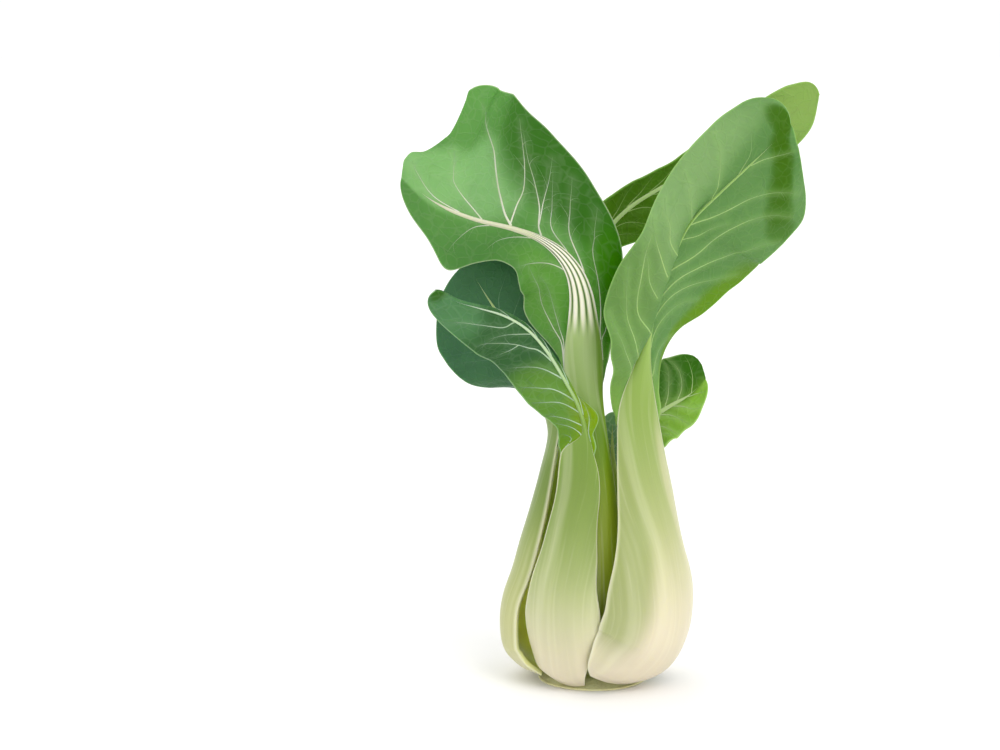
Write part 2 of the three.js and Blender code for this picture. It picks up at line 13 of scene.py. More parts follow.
import bpy
import numpy as np
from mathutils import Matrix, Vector


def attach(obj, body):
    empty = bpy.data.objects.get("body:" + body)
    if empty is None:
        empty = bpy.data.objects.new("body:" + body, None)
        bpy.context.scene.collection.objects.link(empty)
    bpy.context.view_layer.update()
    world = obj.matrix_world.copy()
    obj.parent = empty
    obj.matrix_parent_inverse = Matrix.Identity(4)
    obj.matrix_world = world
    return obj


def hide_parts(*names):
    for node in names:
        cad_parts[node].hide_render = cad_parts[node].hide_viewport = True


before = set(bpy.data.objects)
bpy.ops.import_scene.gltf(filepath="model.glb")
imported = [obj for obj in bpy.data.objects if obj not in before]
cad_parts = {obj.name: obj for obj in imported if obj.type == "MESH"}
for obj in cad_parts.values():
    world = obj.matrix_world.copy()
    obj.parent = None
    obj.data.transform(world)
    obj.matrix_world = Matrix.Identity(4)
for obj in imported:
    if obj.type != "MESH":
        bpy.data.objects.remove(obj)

LOG = logging.getLogger("bok_choy")
MM = 0.001

Colour = tuple[float, float, float]
Mark = tuple[float, ...]
Grid = dict[str, np.ndarray]

# Thicknesses, widths and waves, in millimetres
BLADE_THICKNESS = 0.9
MARGIN_THICKNESS = 0.7
STALK_EDGE = 1.5
LEAST_STRIP = 1.5
RIM_ROUND = 0.9
RIM_WIDTH = 0.6
TRIM_SPAN = 50.0
GRAIN_WAVE = 13.0
FINE_GRAIN_WAVE = 5.0

# Places and runs, as shares of a leaf's length
SWELL_RUN = 0.1
THIN_RUN = 0.03
YOUNG_RUN = 0.1
WING_RUN = 0.012
RIB_CLOSES = 0.965
TRIM_STARTS = 0.86
TRACK_EASE = 0.006
SPINE_EASE = 0.007

# Shares of another value
STRIP_NARROWS = 0.7
RIB_SWELL = 0.35
LEAN_SHARE = 0.25
RIM_LEAST = 0.35
SUNK = 0.5
FINE_SHARE = 0.35

# How steeply a mask or a spacing runs
FOOT_CLOSING = 1.35
EDGE_CROWDING = 1.25
LOOSE_GAIN = 3.0
QUILT_GAIN = 6.0
COMB_POWER = 0.8
RIB_POWER = 1.5

# How fine the lines and grids are
SPINE_SAMPLES = 4001
TRACK_SAMPLES = 2001
SPAN_SAMPLES = 200
SUBSTEPS = 3
FOOT_PITCH = 1.1
TIP_ROWS = 1.3
STALK_CELLS = 22
BLADE_CELLS = (14, 64)
VEIN_SIDES = 8
FINE_GRAIN_SEED = 50
TINY = 1e-6
NUDGE = 1e-9
FAR = 1e9
WELD_STEPS = 2000

# Side veins, their forks and the paler green beside them
VEIN_SAMPLES = 14
VEIN_JITTER = 0.15
VEIN_RISES = (0.9, 1.1)
VEIN_SHORTENS = 0.35
VEIN_EARLY = 0.55
VEIN_SWEEP_IN = 0.25
VEIN_OUTWARD = 0.05
VEIN_LAST_SHARE = 0.985
VEIN_LAST_OUT = 0.93
VEIN_THINS = 0.8
VEIN_THIN_POWER = 0.8
STRAND_LEAST_ACROSS = 0.2
STRAND_LAST_SHARE = 0.999
STRAND_OUT = (-0.2, 0.985)
FORKS_AT = (0.34, 0.56, 0.78)
FORK_RUN = (5.0, 9.0)
FORK_FIRST_RUN = 1.1
FORK_SHORTENS = 0.5
FORK_REACH = 22.0
FORK_LEAST_RUN = 0.2
FORK_SAMPLES = 7
FORK_LOOKS_AHEAD = 3
FORK_AHEAD = 0.8
FORK_SLOWS = 0.15
FORK_ASIDE = 0.62
FORK_ASIDE_POWER = 1.3
FORK_OUT = (0.01, 0.95)
FORK_LAST_SHARE = 0.99
FORK_WIDTH = 0.27
FORK_THINS = 0.6
FORK_FADE = 0.75
FORK_LEAST_SAMPLES = 4
HALO_WIDTH = 1.9
HALO_SEARCH = 6.0
HALO_STRIDE = 3
HALO_LEAST_RADIUS = 0.2

# Scales of the noises on a leaf laid flat, in turns a metre, and how far the net is pushed about
BROAD_FIBRES = (140.0, 7.0, 1.0)
FINE_FIBRES = (620.0, 16.0, 1.0)
STALK_CLOUDS = (55.0, 32.0, 1.0)
STALK_GRAIN = (900.0, 700.0, 1.0)
BLADE_CLOUDS = (38.0, 38.0, 1.0)
BLADE_MOTTLE = (210.0, 210.0, 1.0)
BLADE_QUILT = (420.0, 420.0, 1.0)
BLADE_GRAIN = (1500.0, 1500.0, 1.0)
NET_WARP = (260.0, 260.0, 1.0)
NET_CELLS = (300.0, 300.0, 1.0)
NET_PUSH = (0.55, 0.55, 0.0)


class Side(Enum):
    """The two halves of a leaf, as seen from outside with its tip up."""

    LEFT = -1
    RIGHT = 1


class Layer(Enum):
    """The two faces of a leaf's skin."""

    OUTER = 0
    INNER = 1


def eased(x: np.ndarray) -> np.ndarray:
    """A smooth step from 0 to 1."""
    x = np.clip(x, 0.0, 1.0)
    return x * x * (3.0 - 2.0 * x)


def softened(values: np.ndarray, spread: float) -> np.ndarray:
    """Rounds the corners of a sampled line and leaves its two ends where they are.

    Args:
        values: Samples along the first axis.
        spread: Width of the rounding, in samples.

    Returns:
        The rounded samples.
    """
    reach = int(3 * spread) + 1
    weights = np.exp(-0.5 * (np.arange(-reach, reach + 1) / spread) ** 2)
    weights /= weights.sum()
    before = 2 * values[0] - values[reach:0:-1]
    after = 2 * values[-1] - values[-2 : -reach - 2 : -1]
    long = np.concatenate([before, values, after])
    if long.ndim == 1:
        return np.convolve(long, weights, mode="valid")
    return np.stack([np.convolve(column, weights, mode="valid") for column in long.T], axis=1)


def spline(points: np.ndarray, per_span: int) -> np.ndarray:
    """A centripetal Catmull-Rom line through points.

    Args:
        points: Places that the line goes through, one a row.
        per_span: Samples between two of them.

    Returns:
        The samples, one a row.
    """
    padded = np.vstack([2 * points[0] - points[1], points, 2 * points[-1] - points[-2]])
    t = np.linspace(0.0, 1.0, per_span, endpoint=False)[:, None]
    spans = []
    for a, b, c, d in zip(padded[:-3], padded[1:-2], padded[2:-1], padded[3:]):
        d0, d1, d2 = (np.sqrt(np.linalg.norm(q - p)) for p, q in ((a, b), (b, c), (c, d)))
        m1 = ((b - a) / d0 - (c - a) / (d0 + d1) + (c - b) / d1) * d1
        m2 = ((c - b) / d1 - (d - b) / (d1 + d2) + (d - c) / d2) * d1
        spans.append(
            b + m1 * t + (3 * (c - b) - 2 * m1 - m2) * t**2 + (2 * (b - c) + m1 + m2) * t**3
        )
    return np.vstack([*spans, points[-1:]])


def placed(name: str, data: bpy.types.ID) -> bpy.types.Object:
    """Makes an object and puts it in the scene.

    Args:
        name: The object's name.
        data: Its mesh, lamp or camera.

    Returns:
        The object, at the origin.
    """
    made = bpy.data.objects.new(name, data)
    bpy.context.scene.collection.objects.link(made)
    return made


class Track:
    """A value that runs through marks along a leaf and never overshoots them."""

    def __init__(self, marks: Sequence[Mark], column: int = 1) -> None:
        """Samples the track once, with its corners eased.

        Args:
            marks: Rows of a share of the leaf's length and the values there.
            column: Which value of a row to follow. A row without it gives its last one.
        """
        at = np.array([mark[0] for mark in marks], float)
        value = np.array([mark[min(column, len(mark) - 1)] for mark in marks], float)
        step = np.diff(value) / np.diff(at)
        slope = np.concatenate([step[:1], np.zeros(len(at) - 2), step[-1:]])
        for i in range(1, len(at) - 1):
            both = step[i - 1] * step[i]
            slope[i] = 0.0 if both <= 0 else 2 * both / (step[i - 1] + step[i])
        self.share = np.linspace(0.0, 1.0, TRACK_SAMPLES)
        i = np.clip(np.searchsorted(at, self.share, side="right") - 1, 0, len(at) - 2)
        span = at[i + 1] - at[i]
        t = np.clip((self.share - at[i]) / span, 0.0, 1.0)
        table = (
            (2 * t**3 - 3 * t**2 + 1) * value[i]
            + (t**3 - 2 * t**2 + t) * span * slope[i]
            + (3 * t**2 - 2 * t**3) * value[i + 1]
            + (t**3 - t**2) * span * slope[i + 1]
        )
        self.table = softened(table, TRACK_EASE * TRACK_SAMPLES)

    def __call__(self, share: np.ndarray) -> np.ndarray:
        """The value at shares of the length."""
        return np.interp(share, self.share, self.table)


class Midline:
    """The line up the middle of a leaf's outer face."""

    def __init__(self, spine: Sequence[Mark]) -> None:
        """Samples the line evenly along its length.

        Args:
            spine: Places that it goes through, in millimetres.
        """
        line = spline(np.array(spine, float), SPAN_SAMPLES)
        run = np.concatenate([[0.0], np.cumsum(np.linalg.norm(np.diff(line, axis=0), axis=1))])
        self.length = float(run[-1])
        self.share = np.linspace(0.0, 1.0, SPINE_SAMPLES)
        even = np.stack([np.interp(self.share * run[-1], run, axis) for axis in line.T], axis=1)
        self.points = softened(even, SPINE_EASE * SPINE_SAMPLES)
        along = np.gradient(self.points, axis=0)
        self.along = along / np.linalg.norm(along, axis=1, keepdims=True)

    def at(self, share: np.ndarray) -> tuple[np.ndarray, np.ndarray]:
        """Places on the line and the directions that it runs in.

        Args:
            share: Shares of its length.

        Returns:
            The places and the unit directions, one a row.
        """
        place, along = (
            np.stack([np.interp(share, self.share, axis) for axis in table.T], axis=1)
            for table in (self.points, self.along)
        )
        return place, along / np.linalg.norm(along, axis=1, keepdims=True)


class Wire:
    """A number between two shader sockets, so that sums on it read as sums."""

    def __init__(self, board: "Board", socket: bpy.types.NodeSocket) -> None:
        """Wraps the output socket that the number comes from."""
        self.board = board
        self.socket = socket

    def _maths(self, operation: str, first: "Wire | float", second: "Wire | float") -> "Wire":
        """A sum of two numbers, as a node."""
        node = self.board.node("ShaderNodeMath", {"operation": operation}, {0: first, 1: second})
        return Wire(self.board, node.outputs[0])

    def __add__(self, other: "Wire | float") -> "Wire":
        """This number plus another."""
        return self._maths("ADD", self, other)

    def __radd__(self, other: float) -> "Wire":
        """A plain number plus this one."""
        return self._maths("ADD", other, self)

    def __sub__(self, other: "Wire | float") -> "Wire":
        """This number less another."""
        return self._maths("SUBTRACT", self, other)

    def __rsub__(self, other: float) -> "Wire":
        """A plain number less this one."""
        return self._maths("SUBTRACT", other, self)

    def __mul__(self, other: "Wire | float") -> "Wire":
        """This number times another."""
        return self._maths("MULTIPLY", self, other)

    def __rmul__(self, other: float) -> "Wire":
        """A plain number times this one."""
        return self._maths("MULTIPLY", other, self)

    def between(self, low: float, high: float) -> "Wire":
        """How far this number has come from one value to another, kept within 0 and 1 and eased.

        Args:
            low: Where it gives 0.
            high: Where it gives 1.

        Returns:
            The eased share.
        """
        node = self.board.node(
            "ShaderNodeMapRange",
            {"interpolation_type": "SMOOTHSTEP"},
            {"Value": self, "From Min": low, "From Max": high},
        )
        return Wire(self.board, node.outputs["Result"])


Feed = Wire | bpy.types.NodeSocket | float | Colour | tuple


class Board:
    """The nodes of one material."""

    def __init__(self, name: str) -> None:
        """Makes an empty material.

        Args:
            name: The material's name.
        """
        self.material = bpy.data.materials.new(name)
        self.material.use_nodes = True
        self.tree = self.material.node_tree
        self.tree.nodes.clear()

    def node(self, kind: str, settings: dict | None = None, feeds: dict | None = None) -> bpy.types.Node:
        """Makes any node.

        Args:
            kind: The node's type.
            settings: What it is set to, first of all. "stops" holds a ramp's places and colours.
            feeds: Values or links of its sockets, by name or number.

        Returns:
            The node.
        """
        made = self.tree.nodes.new(kind)
        for key, value in (settings or {}).items():
            if key == "stops":
                self._set_stops(made.color_ramp, value)
            else:
                setattr(made, key, value)
        for socket, value in (feeds or {}).items():
            self.feed(made.inputs[socket], value)
        return made

    def _set_stops(self, ramp: bpy.types.ColorRamp, stops: Sequence[tuple[float, Colour]]) -> None:
        """Gives a ramp its colours.

        Args:
            ramp: The ramp.
            stops: Places from 0 to 1 and the colours there.
        """
        ramp.interpolation = "B_SPLINE"
        while len(ramp.elements) < len(stops):
            ramp.elements.new(1.0)
        for element, (place, colour) in zip(ramp.elements, stops):
            element.position = place
            element.color = (*colour, 1.0)

    def feed(self, socket: bpy.types.NodeSocket, value: Feed) -> None:
        """Links a socket, or sets it to a plain value.

        Args:
            socket: The input socket.
            value: A number, a colour, or what comes out of another node.
        """
        if isinstance(value, Wire):
            self.tree.links.new(value.socket, socket)
        elif isinstance(value, bpy.types.NodeSocket):
            self.tree.links.new(value, socket)
        elif socket.type == "RGBA":
            socket.default_value = (*value, 1.0)[:4]
        else:
            socket.default_value = value

    def attribute(self, name: str) -> Wire:
        """A number that the mesh carries at each of its points."""
        node = self.node("ShaderNodeAttribute", {"attribute_name": name})
        return Wire(self, node.outputs["Fac"])

    def flat(self, scale: tuple[float, float, float]) -> bpy.types.NodeSocket:
        """Places on the leaf laid flat, across it and along it, times a scale.

        Args:
            scale: The scale across and along. The third part is not used.

        Returns:
            The vector.
        """
        node = self.node("ShaderNodeAttribute", {"attribute_name": "flat"})
        scaled = self.node(
            "ShaderNodeVectorMath", {"operation": "MULTIPLY"}, {0: node.outputs["Vector"], 1: scale}
        )
        return scaled.outputs[0]

    def noise(self, vector: bpy.types.NodeSocket, scale: float = 1.0, detail: float = 2.0) -> Wire:
        """Soft grain over a vector.

        Args:
            vector: The places.
            scale: How many grains there are to a unit of it.
            detail: How many finer grains lie over the first.

        Returns:
            The grain, about 0 to 1.
        """
        node = self.node(
            "ShaderNodeTexNoise", {}, {"Vector": vector, "Scale": scale, "Detail": detail}
        )
        return Wire(self, node.outputs[0])

    def blend(self, mask: Wire | float, first: Feed, second: Feed) -> bpy.types.NodeSocket:
        """Mixes two colours.

        Args:
            mask: 0 for the first colour and 1 for the second.
            first: The first colour.
            second: The second colour.

        Returns:
            The mixed colour.
        """
        node = self.node(
            "ShaderNodeMix", {"data_type": "RGBA", "clamp_factor": True}, {0: mask, 6: first, 7: second}
        )
        return node.outputs[2]

    def bump(self, height: Wire, distance: float, strength: float = 1.0) -> bpy.types.NodeSocket:
        """A normal that follows a height.

        Args:
            height: The height, from 0 to 1.
            distance: What a height of 1 stands for, in metres.
            strength: Share of it that shows.

        Returns:
            The normal.
        """
        node = self.node(
            "ShaderNodeBump", {}, {"Height": height, "Distance": distance, "Strength": strength}
        )
        return node.outputs[0]

    def finish(
        self, colour: Feed, roughness: Feed, normal: Feed | None, **constants: float
    ) -> bpy.types.Material:
        """Ends the board in a Principled shader.

        Args:
            colour: Base colour.
            roughness: Roughness.
            normal: The bump's normal, or None.
            constants: What its other sockets are set to, with underscores for the spaces in their names.

        Returns:
            The material.
        """
        shader = self.node("ShaderNodeBsdfPrincipled", {}, {"Base Color": colour, "Roughness": roughness})
        if normal is not None:
            self.feed(shader.inputs["Normal"], normal)
        for key, value in constants.items():
            self.feed(shader.inputs[key.replace("_", " ")], value)
        end = self.node("ShaderNodeOutputMaterial")
        self.tree.links.new(shader.outputs[0], end.inputs["Surface"])
        return self.material


@dataclass(frozen=True)
class Patch:
    """A soft-edged place on a leaf where its colour is another one.

    The places are shares: along the leaf, and across the stalk or the blade, with minus for the left half.
    """

    along: float
    across: float
    spread_along: float
    spread_across: float
    colour: Colour
    strength: float

    def mask(self, board: Board, along: Wire, across: Wire) -> Wire:
        """How much of the patch shows at a point.

        Args:
            board: The board of the material.
            along: The point's share of the leaf's length.
            across: Its share of the width.

        Returns:
            The mask, 0 outside the patch.
        """
        up = (along - self.along) * (1.0 / self.spread_along)
        out = (across - self.across) * (1.0 / self.spread_across)
        within = (1.0 - (up * up + out * out)).between(0.0, 1.0)
        return within * within * (3.0 - 2.0 * within) * self.strength


@dataclass(frozen=True)
class StalkFinish:
    """The smooth flesh of a stalk, cream at the foot and green above, with fine lengthwise fibres."""

    stops: tuple[tuple[float, Colour], ...]
    inside: Colour = (0.30, 0.40, 0.04)
    rim: Colour = (0.80, 0.79, 0.56)
    groove: Colour = (0.10, 0.20, 0.04)
    patches: tuple[Patch, ...] = ()
    streak: float = 0.5
    rim_from: float = 0.85
    roughness: float = 0.36

    def material(self, name: str) -> bpy.types.Material:
        """Makes the material.

        Args:
            name: The material's name.

        Returns:
            The material.
        """
        board = Board(name)
        along, across = board.attribute("along"), board.attribute("stalk_across")
        ramp = board.node("ShaderNodeValToRGB", {"stops": self.stops})
        board.feed(ramp.inputs[0], along)
        colour = ramp.outputs[0]
        for patch in self.patches:
            colour = board.blend(patch.mask(board, along, across), colour, patch.colour)
        broad = board.noise(board.flat(BROAD_FIBRES), detail=2.0)
        fine = board.noise(board.flat(FINE_FIBRES), detail=3.0)
        clouds = board.noise(board.flat(STALK_CLOUDS), detail=3.0)
        pale = tuple(min(1.0, 1.1 * part + 0.06) for part in self.rim)
        deep = tuple(0.62 * part for part in self.stops[len(self.stops) // 2][1])
        colour = board.blend(broad.between(0.5, 0.72) * (0.55 * self.streak), colour, pale)
        colour = board.blend((1.0 - broad).between(0.5, 0.75) * (0.3 * self.streak), colour, deep)
        colour = board.blend(fine.between(0.52, 0.7) * (0.28 * self.streak), colour, pale)
        colour = board.blend(clouds.between(0.5, 0.8) * 0.12, colour, deep)
        colour = board.blend(board.attribute("groove").between(0.15, 0.8), colour, self.groove)
        colour = board.blend(board.attribute("rib").between(0.2, 0.9), colour, pale)
        inside = board.blend(along.between(0.4, 0.55), self.inside, self.stops[-1][1])
        colour = board.blend(1.0 - board.attribute("outer"), colour, inside)
        edge = (across * across).between(self.rim_from, 1.0)
        colour = board.blend(edge * 0.7, colour, self.rim)
        grain = board.noise(board.flat(STALK_GRAIN), detail=2.0)
        height = fine * 0.7 + broad * 0.5 + grain * 0.12
        return board.finish(
            colour,
            self.roughness + 0.12 * (fine - 0.5),
            board.bump(height, 0.0004, 0.55),
            Subsurface_Weight=0.3,
            Subsurface_Radius=(0.9, 1.0, 0.35),
            Subsurface_Scale=0.004,
            Specular_IOR_Level=0.35,
        )


@dataclass(frozen=True)
class BladeFinish:
    """The green of a blade, with a pale net between its veins. Its outer face is the duller one."""

    outer: Colour
    inner: Colour
    deep: Colour
    young: Colour
    vein: Colour
    patches: tuple[Patch, ...] = ()
    net: float = 0.05
    # Pale green beside the veins: partly the tissue's own colour, and partly painted light that stands in
    # for the raised, quilted tissue there.
    vein_halo_and_relief_shade: float = 0.05
    roughness: float = 0.45
    specular: float = 0.06
    inner_patches: tuple[Patch, ...] = ()

    def _faces(self, board: Board) -> bpy.types.NodeSocket:
        """The green of the two faces, before the veins tint it.

        Args:
            board: The board of the material.

        Returns:
            The colour.
        """
        along, across = board.attribute("along"), board.attribute("blade_across")
        clouds = board.noise(board.flat(BLADE_CLOUDS), detail=3.0)
        mottle = board.noise(board.flat(BLADE_MOTTLE), detail=2.0)
        outer = board.blend(clouds.between(0.35, 0.75) * 0.75, self.outer, self.deep)
        for patch in self.patches:
            outer = board.blend(patch.mask(board, along, across), outer, patch.colour)
        outer = board.blend(mottle.between(0.5, 0.85) * 0.22, outer, self.deep)
        dark_inner = tuple(0.7 * part for part in self.inner)
        inner = board.blend(clouds.between(0.35, 0.75) * 0.7, self.inner, dark_inner)
        for patch in self.inner_patches:
            inner = board.blend(patch.mask(board, along, across), inner, patch.colour)
        return board.blend(board.attribute("outer"), inner, outer)

    def _net(self, board: Board) -> Wire:
        """The fine net of veins.

        Args:
            board: The board of the material.

        Returns:
            A mask, 1 on the net's lines.
        """
        warp = board.node(
            "ShaderNodeTexNoise", {}, {"Vector": board.flat(NET_WARP), "Scale": 1.0, "Detail": 1.0}
        )
        pushed = board.node(
            "ShaderNodeVectorMath",
            {"operation": "MULTIPLY_ADD"},
            {0: warp.outputs["Color"], 1: NET_PUSH, 2: board.flat(NET_CELLS)},
        )
        cells = board.node(
            "ShaderNodeTexVoronoi",
            {"feature": "DISTANCE_TO_EDGE"},
            {"Vector": pushed.outputs[0], "Scale": 1.0},
        )
        return (1.0 - Wire(board, cells.outputs["Distance"])).between(0.9, 1.0)

    def material(self, name: str) -> bpy.types.Material:
        """Makes the material.

        Args:
            name: The material's name.

        Returns:
            The material.
        """
        board = Board(name)
        colour = self._faces(board)
        net = self._net(board)
        near = board.attribute("near_vein")
        colour = board.blend(net * self.net, colour, self.vein)
        # Pale tone near the veins, partly own colour and partly painted light for the quilted relief.
        colour = board.blend(near * near * self.vein_halo_and_relief_shade, colour, self.vein)
        colour = board.blend(board.attribute("young") * 0.75, colour, self.young)
        colour = board.blend(board.attribute("rim") * 0.45, colour, self.vein)
        grain = board.noise(board.flat(BLADE_GRAIN), detail=2.0)
        quilt = board.noise(board.flat(BLADE_QUILT), detail=2.0)
        height = quilt * 0.8 + grain * 0.15 + net * 0.35
        return board.finish(
            colour,
            self.roughness + 0.2 * (quilt - 0.5),
            board.bump(height, 0.0005, 0.5),
            Subsurface_Weight=0.25,
            Subsurface_Radius=(0.5, 1.0, 0.15),
            Subsurface_Scale=0.0025,
            Specular_IOR_Level=self.specular,
        )

    def vein_material(self, name: str) -> bpy.types.Material:
        """Makes the material of the veins, which fade into the blade towards their ends.

        Args:
            name: The material's name.

        Returns:
            The material.
        """
        board = Board(name)
        fade = board.attribute("fade")
        clouds = board.noise(board.node("ShaderNodeTexCoord").outputs["Object"], scale=90.0)
        body = board.blend(clouds.between(0.35, 0.7) * 0.3, self.vein, self.outer)
        colour = board.blend(fade.between(0.25, 1.15), body, self.outer)
        return board.finish(
            colour,
            self.roughness + 0.1 * (clouds - 0.5),
            None,
            Subsurface_Weight=0.25,
            Subsurface_Radius=(0.5, 1.0, 0.15),
            Subsurface_Scale=0.0025,
            Specular_IOR_Level=self.specular,
        )


@dataclass(frozen=True)
class RootFinish:
    """The trimmed root end: cream flesh that dries to a tan at the cut's rim."""

    flesh: Colour = (0.78, 0.76, 0.40)
    dried: Colour = (0.40, 0.33, 0.13)
    cut: Colour = (0.74, 0.70, 0.48)

    def material(self, name: str) -> bpy.types.Material:
        """Makes the material.

        Args:
            name: The material's name.

        Returns:
            The material.
        """
        board = Board(name)
        place = board.node("ShaderNodeTexCoord").outputs["Object"]
        axes = board.node("ShaderNodeSeparateXYZ", {}, {0: place})
        height = Wire(board, axes.outputs[2])
        clouds = board.noise(place, scale=260.0, detail=4.0)
        fine = board.noise(place, scale=1400.0, detail=3.0)
        colour = board.blend(clouds.between(0.4, 0.75) * 0.4, self.flesh, self.dried)
        colour = board.blend((0.0006 - height).between(0.0, 0.0005) * 0.8, colour, self.cut)
        colour = board.blend(fine.between(0.55, 0.8) * 0.3, colour, self.dried)
        return board.finish(
            colour,
            0.6 + 0.2 * (clouds - 0.5),
            board.bump(clouds * 0.6 + fine * 0.4, 0.0006, 0.6),
            Subsurface_Weight=0.2,
            Subsurface_Radius=(1.0, 0.9, 0.4),
            Subsurface_Scale=0.003,
        )


@dataclass(frozen=True)
class Ripple:
    """The slow wave of a blade's margin."""

    height: float
    waves: float


@dataclass(frozen=True)
class VeinRule:
    """How the side veins leave the midrib on one half of a blade.

    first and last are shares of the leaf's length. rise is how much further up a vein ends, and sweep is
    how far it keeps beside the midrib before it turns out. width is a vein's half width at its root.
    """

    count: int = 7
    first: float = 0.55
    last: float = 0.9
    rise: float = 0.12
    sweep: float = 0.3
    width: float = 0.32


@dataclass(frozen=True)
class Vein:
    """A side vein, drawn through [share of the length, share of the half's width] places."""

    path: tuple[Mark, ...]
    width: float = 0.32


@dataclass(frozen=True)
class Half:
    """One half of a blade: its width, its turns, where plus turns it inwards, and its veins.

    A lean is a turn beside the stalk, within lean_run of the half's width. A curl is spread over the whole
    width. A fold starts at fold_at and takes fold_run, as shares of the width.
    Trim marks are [distance from the midline, how much further the leaf's end reaches there].
    """

    reach: Sequence[Mark]
    curl: Sequence[Mark] = ((0.5, 20), (1, 20))
    lean: Sequence[Mark] = ((0, 0), (1, 0))
    fold: Sequence[Mark] = ((0, 0), (1, 0))
    trim: Sequence[Mark] = ((0, 0), (1, 0))
    lean_run: float = LEAN_SHARE
    fold_at: float = 0.2
    fold_run: float = 0.16
    blunt: float = 0.0
    phase: float = 0.0
    rule: VeinRule | None = VeinRule()
    veins: tuple[Vein, ...] = ()


@dataclass
class Strand:
    """A vein's line on the leaf laid flat, in millimetres, with what it carries along it."""

    side: Side
    share: np.ndarray
    across: np.ndarray
    radius: np.ndarray
    fade: np.ndarray


class Skin:
    """Points, the values that they carry, and faces in named groups, before they become a mesh."""

    def __init__(self, points: np.ndarray, values: Grid) -> None:
        """Welds points that share a place.

        Args:
            points: Places in millimetres, one a row.
            values: What each point carries.
        """
        _, first, self.index = np.unique(
            np.round(points * WELD_STEPS).astype(np.int64), axis=0, return_index=True, return_inverse=True
        )
        self.index = self.index.reshape(-1)
        self.points = points[first]
        self.values = {name: value[first] for name, value in values.items()}
        self.groups: Grid = {}

    def add(self, group: str, corners: np.ndarray) -> None:
        """Adds four-cornered faces, and leaves out those that the weld has closed.

        Args:
            group: The group that they belong to.
            corners: The points' numbers before the weld, four to a face.
        """
        faces = self.index[corners.reshape(-1, 4)]
        whole = (faces[:, 0] != faces[:, 2]) & (faces[:, 1] != faces[:, 3])
        sides = sum((faces[:, k] == faces[:, (k + 1) % 4]).astype(int) for k in range(4))
        faces = faces[whole & (sides <= 1)]
        self.groups[group] = np.vstack([self.groups[group], faces]) if group in self.groups else faces

    def normals(self, groups: Sequence[str]) -> np.ndarray:
        """The smooth normal of each point.

        Args:
            groups: The groups whose faces count.

        Returns:
            Unit normals, one a row, and zeros at points that no such face has.
        """
        faces = np.vstack([self.groups[name] for name in groups])
        a, b, c, d = (self.points[faces[:, k]] for k in range(4))
        across = np.cross(c - a, d - b)
        total = np.zeros_like(self.points)
        for k in range(4):
            np.add.at(total, faces[:, k], across)
        size = np.linalg.norm(total, axis=1, keepdims=True)
        return total / np.maximum(size, 1e-12)

    def mesh(self, name: str, groups: Sequence[str], normals: np.ndarray) -> bpy.types.Object:
        """Makes a piece of some groups of faces.

        Args:
            name: The piece's name.
            groups: Which faces it has.
            normals: The smooth normals of all points.

        Returns:
            The piece, at the origin, in metres.
        """
        faces = np.vstack([self.groups[group] for group in groups])
        used, numbers = np.unique(faces, return_inverse=True)
        numbers = numbers.reshape(faces.shape)
        plain = [
            list(dict.fromkeys(face)) if len(set(face)) < 4 else face for face in numbers.tolist()
        ]
        mesh = bpy.data.meshes.new(name)
        mesh.from_pydata((self.points[used] * MM).tolist(), [], plain)
        mesh.polygons.foreach_set("use_smooth", [True] * len(plain))
        for key, value in self.values.items():
            kind, field_name = ("FLOAT_VECTOR", "vector") if value.ndim == 2 else ("FLOAT", "value")
            layer = mesh.attributes.new(key, kind, "POINT")
            layer.data.foreach_set(field_name, value[used].astype(np.float32).ravel())
        mesh.update()
        mesh.normals_split_custom_set_from_vertices(normals[used].tolist())
        return placed(name, mesh)


class Crinkle:
    """A gentle, seeded unevenness of a sheet."""

    def __init__(self, seed: int, wavelength: float, waves: int = 14) -> None:
        """Draws the waves.

        Args:
            seed: Seed of the draw.
            wavelength: Their middle length, in millimetres.
            waves: How many there are.
        """
        draw = np.random.default_rng(seed)
        angle = draw.uniform(0, np.pi, waves)
        number = 2 * np.pi / (wavelength * draw.uniform(0.6, 1.7, waves))
        self.push = np.stack([np.cos(angle) * number, np.sin(angle) * number])
        self.phase = draw.uniform(0, 2 * np.pi, waves)

    def __call__(self, across: np.ndarray, along: np.ndarray) -> np.ndarray:
        """The height at places on the leaf laid flat.

        Args:
            across: How far the places are from the midline.
            along: How far up the leaf they are.

        Returns:
            Heights of about -1 to 1.
        """
        total = np.zeros_like(across)
        for push_x, push_y, phase in zip(*self.push, self.phase):
            total += np.sin(push_x * across + push_y * along + phase)
        return total / np.sqrt(2.0 * len(self.phase))


